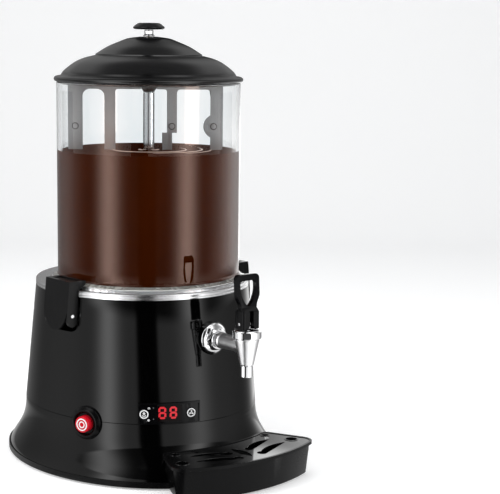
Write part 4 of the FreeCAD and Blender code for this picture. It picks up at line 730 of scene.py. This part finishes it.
def make_housing():
    """Housing, skirt and base from the CAD, and the deck: a grooved edge round the plan oval, and
    a flat top from it in to the round hole of the pot."""
    true_normals(cad_copy("upper_housing", "housing_black"), wall_form)
    true_normals(cad_copy("lower_skirt", "housing_black"), skirt_form)
    cad_copy("base_plate", "base_black")
    for node in ("rubber_feet", "cord_gland", "inner_pot", "pot_gasket"):
        cad_copy(node, slot_of_node[node], angle=35.0)
    edge = [(0.0, 0.05), (0.0, 1.5), (-0.35, 1.9), (0.0, 2.3), (0.0, 4.6), (-0.35, 5.0),
            (-0.1, 5.4), (-0.9, deck_top - deck_z), (-6.0, deck_top - deck_z)]
    band = held(rounded([(grow, deck_z + z) for grow, z in edge], 0.45, 4), 0.15, 1.0)
    count = 256
    rings = [oval_points(deck_oval, z, grow, count) for grow, z in band]
    t = np.linspace(0.0, TAU, count, endpoint=False)
    hole = circle(deck_hole_r, t - math.pi / 2, deck_top)
    last = rings[-1]
    rings += [last * (1 - share) + hole * share for share in (0.3, 0.65, 1.0)]
    rings += [hole - np.array([0, 0, 1.4]), oval_points(deck_oval, deck_top - 1.4, -1.6, count),
              oval_points(deck_oval, deck_z + 0.05, -1.4, count)]
    faces = grid_faces(len(rings), count, wrap_rows=True)
    fit(new_piece("deck_skin", np.stack(rings), faces), "deck_steel", "deck")


def make_clips():
    """Side clips from the CAD, with rounded edges."""
    for node in ("clip_left", "clip_right"):
        cad_copy(node, "clip_black", 0.7)


# ================= display and switch =================

def digit(label, mid_x, mid_z, height):
    """Lit seven-segment digit: each bar is a lozenge standing off the window."""
    width, bar, half = height * 0.52, height * 0.1, height / 2.0
    places = {"a": (0, half, 0), "b": (width / 2, half / 2, 1), "c": (width / 2, -half / 2, 1),
              "d": (0, -half, 0), "e": (-width / 2, -half / 2, 1), "f": (-width / 2, half / 2, 1),
              "g": (0, 0, 0)}
    for name, (dx, dz, upright) in places.items():
        length = (half if upright else width) * 0.5 + bar * 0.2
        outline = np.array([(-length, 0), (-length + bar, bar), (length - bar, bar), (length, 0),
                            (length - bar, -bar), (-length + bar, -bar)])
        if upright:
            outline = outline[:, ::-1] * np.array([1, -1])
        outline[:, 0] += 0.03 * (dz + outline[:, 1])
        place = wall_place(mid_x + dx * 0.93, mid_z + dz, 1.02)
        fit(slab(f"{label}_{name}", outline, 0.12, place), "window_dark", body="machine",
            material=red_glow)


def turned_ring(label, place, r_in, r_out, height, slot, body):
    """Raised white ring."""
    profile = [(r_in, 0.0), (r_out, 0.0), (r_out, height), (r_in, height), (r_in, 0.0)]
    fit(turned(label, profile, 48, place), slot, body=body, material=white_marks)


def make_display():
    """Display: panel and window from the CAD, two digits, keys with their marks, small marks."""
    cad_copy("display_panel", "panel_black", 0.4)
    cad_copy("display_window", "window_dark")
    digit("tens", -58.0, digit_z, 10.6)
    digit("units", -48.0, digit_z, 10.6)
    cap = rounded([(0.01, -3.0), (5.2, -3.0), (5.2, 1.5), (4.8, 1.9), (0.01, 1.9)], 0.35, 4)
    for (node, x), marks in zip(key_places, (left_key_marks(), right_key_marks())):
        place = wall_place(x, key_z)
        fit(turned(node + "_cap", cap, 48, place), "panel_black", node)
        face = place @ Matrix.Translation((0, 0, 1.86))
        turned_ring(node + "_ring", face, 3.45, 4.7, 0.1, "key_white", body_of_node[node])
        for k, outline in enumerate(marks):
            fit(slab(f"{node}_mark{k}", outline, 0.1, face), "key_white", body=body_of_node[node],
                material=white_marks)
    loop, faces = oval_loop(1.35, 0.95, 0.6)
    for k, (x, z) in enumerate(((-69.1, 79.8), (-70.0, 67.4))):
        fit(new_piece(f"small_loop{k}", carried(loop, wall_place(x, z, 1.18)), faces),
            "panel_black", body="machine", material=white_marks)
    disc = circle(0.75, np.linspace(0.0, TAU, 28, endpoint=False), 0.0)[:, :2]
    for k, (x, z) in enumerate(((-65.4, 80.2), (-65.9, 68.6))):
        fit(slab(f"lamp{k}", disc, 0.1, wall_place(x, z, 1.2)), "panel_black", body="machine",
            material=grey_marks)


def left_key_marks():
    """Arrow pointing up, over an arc."""
    turn = np.radians(np.linspace(200.0, 340.0, 15))
    arc = np.vstack([circle(2.5, turn, 0.0), circle(1.8, turn[::-1], 0.0)])[:, :2]
    stem = np.array([(-0.7, -0.9), (0.7, -0.9), (0.7, 1.4), (-0.7, 1.4)])
    head = np.array([(-1.9, 0.5), (1.9, 0.5), (0.0, 2.6)])
    return [arc, stem, head]


def right_key_marks():
    """Three-spoked fan."""
    blade = np.array([(0.4, -0.5), (1.6, -1.1), (2.6, -0.7), (2.7, 0.5), (1.5, 0.6), (0.4, 0.5)])
    turns = [math.radians(90 + 120 * k) for k in range(3)]
    return [blade @ np.array([(math.cos(t), math.sin(t)), (-math.sin(t), math.cos(t))])
            for t in turns]


def oval_loop(half_a, half_b, width, count=28):
    """Points and faces of a flat ring between two ovals."""
    t = np.linspace(0.0, TAU, count, endpoint=False)
    rings = [np.stack([(half_a - cut) * np.cos(t), (half_b - cut) * np.sin(t), z + 0 * t], -1)
             for cut, z in ((0, 0.0), (0, 0.1), (width, 0.1), (width, 0.0))]
    return np.concatenate(rings), grid_faces(4, count, wrap_rows=True)


def make_switch_parts():
    """Switch: a dished bezel, and a round button with white rings on its face."""
    place = wall_place(switch_x, switch_z)
    bezel = rounded([(8.85, 1.0), (11.2, 1.0), (12.9, 4.6), (14.6, 4.6), (18.0, 1.4), (18.0, -1.5),
                     (14.3, -4.0), (8.85, -4.0), (8.85, 1.0)], 0.6, 4)
    fit(turned("bezel", bezel, 96, place), "bezel_black", "switch_bezel")
    button = rounded([(0.01, -4.0), (8.6, -4.0), (8.6, 9.0), (0.01, 9.3)], 0.9, 4)
    fit(turned("button", button, 64, place), "switch_red", "power_button")
    face = wall_place(switch_x, switch_z, 9.2)
    for k, (r_in, r_out) in enumerate(((5.2, 6.6), (2.4, 3.6))):
        turned_ring(f"button_ring{k}", face, r_in, r_out, 0.12, "switch_red", "power_switch")


# ================= tap =================

def make_tap():
    """Tap: rose and nut on the wall, level barrel, and upright collar, cone and nozzle."""
    wall = facing((0, -tap_face, tap_z), (0, -1, 0))
    rose = rounded([(8.1, 0.0), (16.4, 0.0), (16.4, 1.2), (14.6, 2.9), (11.0, 4.1), (8.1, 4.1)],
                   0.8, 4)
    fit(turned("tap_rose", np.vstack([rose, rose[:1]]), 96, wall), "tap_chrome", "tap_escutcheon")
    cad_copy("tap_nut", "tap_chrome", 0.5, 25.0)
    bonnet = rounded([(2.4, collar_low), (14.5, collar_low), (15.1, collar_low + 0.9),
                      (15.1, collar_top - 1.8), (13.6, collar_top), (2.4, collar_top)], 0.7, 4)
    up = facing((0, tap_y, 0), (0, -1, 0)) @ Matrix.Rotation(-math.pi / 2, 4, "X")
    fit(turned("tap_collar", np.vstack([bonnet, bonnet[:1]]), 96, up), "tap_chrome", "tap_bonnet")
    barrel = rounded([(barrel_bore, -34.0), (8.0, -34.0), (8.0, 10.5), (8.6, 11.5), (8.6, 15.5),
                      (8.0, 17.0), (7.8, 30.0), (8.0, 50.0), (barrel_bore, 50.0),
                      (barrel_bore, -34.0)], 0.8, 4)
    cone = rounded([(6.6, 129.3), (7.4, 130.4), (12.7, 155.6), (12.7, 157.6), (10.3, 157.6),
                    (5.4, 134.0), (5.4, 129.3), (6.6, 129.3)], 0.5, 4)
    nozzle = rounded([(nozzle_bore, nozzle_low), (6.1, nozzle_low), (6.7, nozzle_low + 0.7),
                      (6.7, nozzle_top - 0.4), (5.0, nozzle_top), (nozzle_bore, nozzle_top),
                      (nozzle_bore, nozzle_low)], 0.5, 4)
    for label, profile, count, place, finish in (
            ("tap_barrel", barrel, 64, wall, satin_chrome),
            ("tap_cone", cone, 96, up, satin_chrome),
            ("tap_nozzle", nozzle, 96, up, finishes["tap_chrome"])):
        fit(turned(label, profile, count, place), "tap_chrome", "tap_body", material=finish)
    # black pads in front of and behind the collar, where it has a recess: painted shade of the
    # recess
    for k, turn in enumerate((math.radians(-38.0), math.radians(142.0))):
        out = Vector((math.sin(turn), -math.cos(turn), 0.0))
        seat = facing(Vector((0, tap_y, 162.0)) + out * 14.2, out)
        plug = slab(f"collar_shade_plug{k}", superellipse(4.0, 3.3, 4.0, 28), 1.3, seat, 0.3)
        fit(plug, "tap_chrome", body=body_of_node["tap_body"], material=finishes["nylon_black"])


def make_spring():
    """Closing spring at its pressed height: r = 3.5, z = low + (high - low) * turn / last turn."""
    share = np.linspace(0.0, 1.0, 145)
    path = circle(3.5, 6 * TAU * share, spring_low + (spring_high - spring_low) * share)
    path[:, 1] += tap_y
    wire = np.broadcast_to(superellipse(0.5, 0.5, 2.0, 10), (len(path), 10, 2))
    coil = swept("spring_coil", path, (0, 0, 1), wire)
    fit(coil, slot_of_node["valve_spring"], "valve_spring")


def make_handle():
    """Handle: the CAD form with rounded edges, and the pin that carries it."""
    cad_copy("tap_handle", "handle_black", 0.9)
    pin = rounded([(0.01, -11.1), (1.7, -11.1), (1.7, 11.1), (0.01, 11.1)], 0.3, 3)
    place = facing((0, tap_y, handle_pin_z), (1, 0, 0))
    fit(turned("handle_pin_skin", pin, 32, place), "tap_chrome", "handle_pin")


# ================= tray =================

def make_tray():
    """Tray and grate from the CAD, with rounded edges."""
    cad_copy("drip_tray", "tray_black", 0.8)
    cad_copy("drip_grate", "grate_black", 0.3)


make_lid()
make_knob()
make_bowl()
make_drink()
make_column()
make_blades()
make_housing()
make_clips()
make_display()
make_switch_parts()
make_tap()
make_spring()
make_handle()
make_tray()


# ================= studio =================

def plain_stage(name, colour, glow):
    """Pale stage surface: it takes the object's shadow, and has a faint glow of its own to the
    camera and in glass and metal, so that it reads as white there."""
    mat, tree, shader = start_material(name, Base_Color=(*colour, 1), Roughness=0.6,
                                       Specular_IOR_Level=0.0, Emission_Color=(1, 1, 1, 1))
    ray = add(tree, "ShaderNodeLightPath").outputs
    seen = maths(tree, "MAXIMUM", ray["Is Camera Ray"], ray["Is Glossy Ray"])
    seen = maths(tree, "MAXIMUM", seen, ray["Is Transmission Ray"])
    feed(tree, shader.inputs["Emission Strength"], maths(tree, "MULTIPLY", seen, glow))
    return mat


def make_stage():
    """Floor and backdrop: one sheet, flat and then rising behind in a quarter circle."""
    radius, back, width = 0.8, 1.6, 14.0
    turn = np.linspace(0.0, math.pi / 2, 24)
    bend = np.column_stack([back + radius * np.sin(turn), radius - radius * np.cos(turn)])
    line = np.vstack([[(-width, 0.0)], bend, [(back + radius, 4.0)]])
    xs = np.linspace(-width, width, 3)
    points = np.stack([xs + 0 * line[:, :1], line[:, :1] + 0 * xs, line[:, 1:] + 0 * xs], -1) / MM
    obj = new_piece("sweep", points, grid_faces(len(line), 3, wrap_cols=False), 60.0)
    obj.data.transform(Matrix.Rotation(camera_heading, 4, "Z"))
    obj.data.materials.append(plain_stage("pale sweep", (0.8, 0.8, 0.8), 0.35))


def lamp(name, place, target, size, size_y, power):
    """Soft box that lights the machine; only the tent is mirrored in it."""
    data = bpy.data.lights.new(name, "AREA")
    data.shape = "RECTANGLE"
    data.size, data.size_y = size, size_y
    data.energy = power
    obj = new_object(name, data)
    obj.location = place
    obj.rotation_euler = (Vector(target) - Vector(place)).to_track_quat("-Z", "Y").to_euler()
    obj.visible_glossy = False


def make_camera():
    """Camera at the fitted place, turned by its heading, pitch and roll."""
    data = bpy.data.cameras.new("view")
    data.sensor_width = sensor_mm
    data.lens = focal_px / frame_px * sensor_mm
    data.clip_start, data.clip_end = 0.05, 50.0
    cam = new_object("view", data)
    a, p, roll = camera_heading, camera_pitch, camera_roll
    ahead = Vector((-math.sin(a) * math.cos(p), math.cos(a) * math.cos(p), -math.sin(p)))
    right = Vector((math.cos(a), math.sin(a), 0.0))
    up = right.cross(ahead)
    cam.matrix_world = placed(camera_at, right * math.cos(roll) + up * math.sin(roll),
                              up * math.cos(roll) - right * math.sin(roll), -ahead)
    bpy.context.scene.camera = cam


def from_view(side, height, ahead):
    """Point at a distance to the right of, above and in front of the machine's middle, as the
    camera's heading has it."""
    a = camera_heading
    right = Vector((math.cos(a), math.sin(a), 0))
    toward = Vector((math.sin(a), -math.cos(a), 0))
    return right * side + toward * ahead + Vector((0, 0, height))


def tent_glow(heading, even, back, *bumps):
    """Glow round one ring of the tent, by the heading from the camera's side: an even level that
    goes over to another at the back, bell curves (heading, spread, peak), and a dark gap in
    front."""
    turn = np.clip((np.abs(heading) - 60.0) / 50.0, 0.0, 1.0)
    glow = even + (back - even) * turn ** 2 * (3 - 2 * turn)
    for middle, spread, peak in bumps:
        off = (heading - middle + 180.0) % 360.0 - 180.0
        glow = glow + peak * np.exp(-(off / spread) ** 2)
    gap = 1.0 / (1.0 + np.exp((gap_low - heading) / gap_soft))
    gap = gap / (1.0 + np.exp((heading - gap_high) / gap_soft))
    return np.maximum(glow * (1.0 - gap), 0.0)


def make_tent():
    """Light tent for reflections only: a round floor and wall, whose glow is a function of the
    heading and of the ring."""
    cols = 361
    heading = np.linspace(-180.0, 180.0, cols)
    right = np.array([math.cos(camera_heading), math.sin(camera_heading)])
    toward = np.array([math.sin(camera_heading), -math.cos(camera_heading)])
    around = np.radians(heading)
    level = np.sin(around)[:, None] * right + np.cos(around)[:, None] * toward
    points = np.stack([np.column_stack([level * row[0], np.full(cols, row[1])])
                       for row in tent_rows])
    glow = np.stack([tent_glow(heading, *row[2:]) for row in tent_rows])
    mesh = bpy.data.meshes.new("tent")
    mesh.from_pydata(points.reshape(-1, 3).tolist(), [],
                     grid_faces(len(tent_rows), cols, wrap_cols=False).tolist())
    mesh.attributes.new("glow", "FLOAT", "POINT").data.foreach_set("value", glow.ravel())
    obj = new_object("tent", mesh)
    mat = bpy.data.materials.new("tent cloth")
    mat.use_nodes = True
    tree = mat.node_tree
    tree.nodes.clear()
    shown = add(tree, "ShaderNodeAttribute", attribute_name="glow")
    light = add(tree, "ShaderNodeEmission", Strength=shown.outputs["Fac"])
    add(tree, "ShaderNodeOutputMaterial", Surface=light.outputs[0])
    mesh.materials.append(mat)
    obj.visible_camera = obj.visible_diffuse = obj.visible_transmission = obj.visible_shadow = False


# headings of the dark gap, and bell curves of the rows that housing, bowl and lid mirror
gap_low, gap_high, gap_soft = -7.2, 11.4, 0.7
low_strips = ((-32.0, 8.5, 3.8), (46.0, 12.0, 2.2), (142.0, 14.0, 1.2))
bowl_strips = ((-97.0, 20.0, 0.3), (-40.0, 11.5, 4.1), (45.5, 11.0, 4.2), (112.0, 28.0, 1.2),
               (157.0, 8.0, 2.2), (180.0, 12.0, 1.0))
dome_strips = ((-40.0, 16.0, 1.2), (46.0, 16.0, 1.2), (180.0, 15.0, -0.5))
edge_strips = ((0.0, 75.0, 3.0), (180.0, 15.0, -0.5))
# radius, height, even glow, glow at the back, strips
tent_rows = (
    (0.01, 0.0004, 0.90, 0.90),
    (0.30, 0.0004, 0.90, 0.50),
    (0.355, 0.0004, 0.90, 0.25, *low_strips),
    (0.36, 0.001, 0.90, 0.25, *low_strips),
    (0.36, 0.158, 0.90, 0.25, *low_strips),
    (0.36, 0.172, 0.09, 0.30, *bowl_strips),
    (0.36, 0.335, 0.09, 0.30, *bowl_strips),
    (0.36, 0.40, 0.35, 0.30, *dome_strips),
    (0.36, 0.50, 0.35, 0.35, *dome_strips),
    (0.36, 0.505, 0.35, 0.35, *edge_strips),
    (0.36, 0.57, 0.35, 0.40, *edge_strips),
    (0.36, 0.575, 0.35, 0.40, *dome_strips),
    (0.36, 0.78, 0.35, 0.65, *dome_strips),
    (0.36, 1.00, 0.16, 0.18),
    (0.20, 1.20, 0.14, 0.14),
    (0.01, 1.25, 0.14, 0.14),
)


def make_cards():
    """Dark upright cards, met only by light that has come through the clear bowl: they draw the
    dark lines in the chromed column."""
    mat = start_material("dark card", Specular_IOR_Level=0.0,
                         Base_Color=(0.002, 0.002, 0.002, 1))[0]
    for k, (low, high) in enumerate(((-125.0, -98.0), (-16.0, 3.0), (98.0, 125.0))):
        turn = np.radians(np.linspace(low, high, 16)) + camera_heading - math.pi / 2
        rows = [circle(500.0, turn, z) for z in (285.0, 385.0)]
        card = new_piece(f"dark_card{k}", np.stack(rows), grid_faces(2, 16, wrap_cols=False))
        card.data.materials.append(mat)
        card.visible_camera = card.visible_diffuse = False
        card.visible_glossy = card.visible_shadow = False


def make_lights():
    """Three soft boxes and a faint even surrounding light."""
    middle = (0, 0, 0.22)
    lamp("key_box", from_view(-1.5, 1.1, 0.9), middle, 0.9, 1.5, 24)
    lamp("fill_box", from_view(1.5, 0.9, 0.9), middle, 0.7, 1.5, 18)
    lamp("top_box", (0, 0, 1.9), middle, 1.2, 1.2, 16)
    world = bpy.data.worlds.new("studio")
    bpy.context.scene.world = world
    world.use_nodes = True
    back = world.node_tree.nodes["Background"]
    back.inputs["Color"].default_value = (0.9, 0.92, 0.95, 1)
    back.inputs["Strength"].default_value = 0.35


make_camera()
make_stage()
make_tent()
make_cards()
make_lights()
bpy.context.scene.view_settings.view_transform = "Standard"
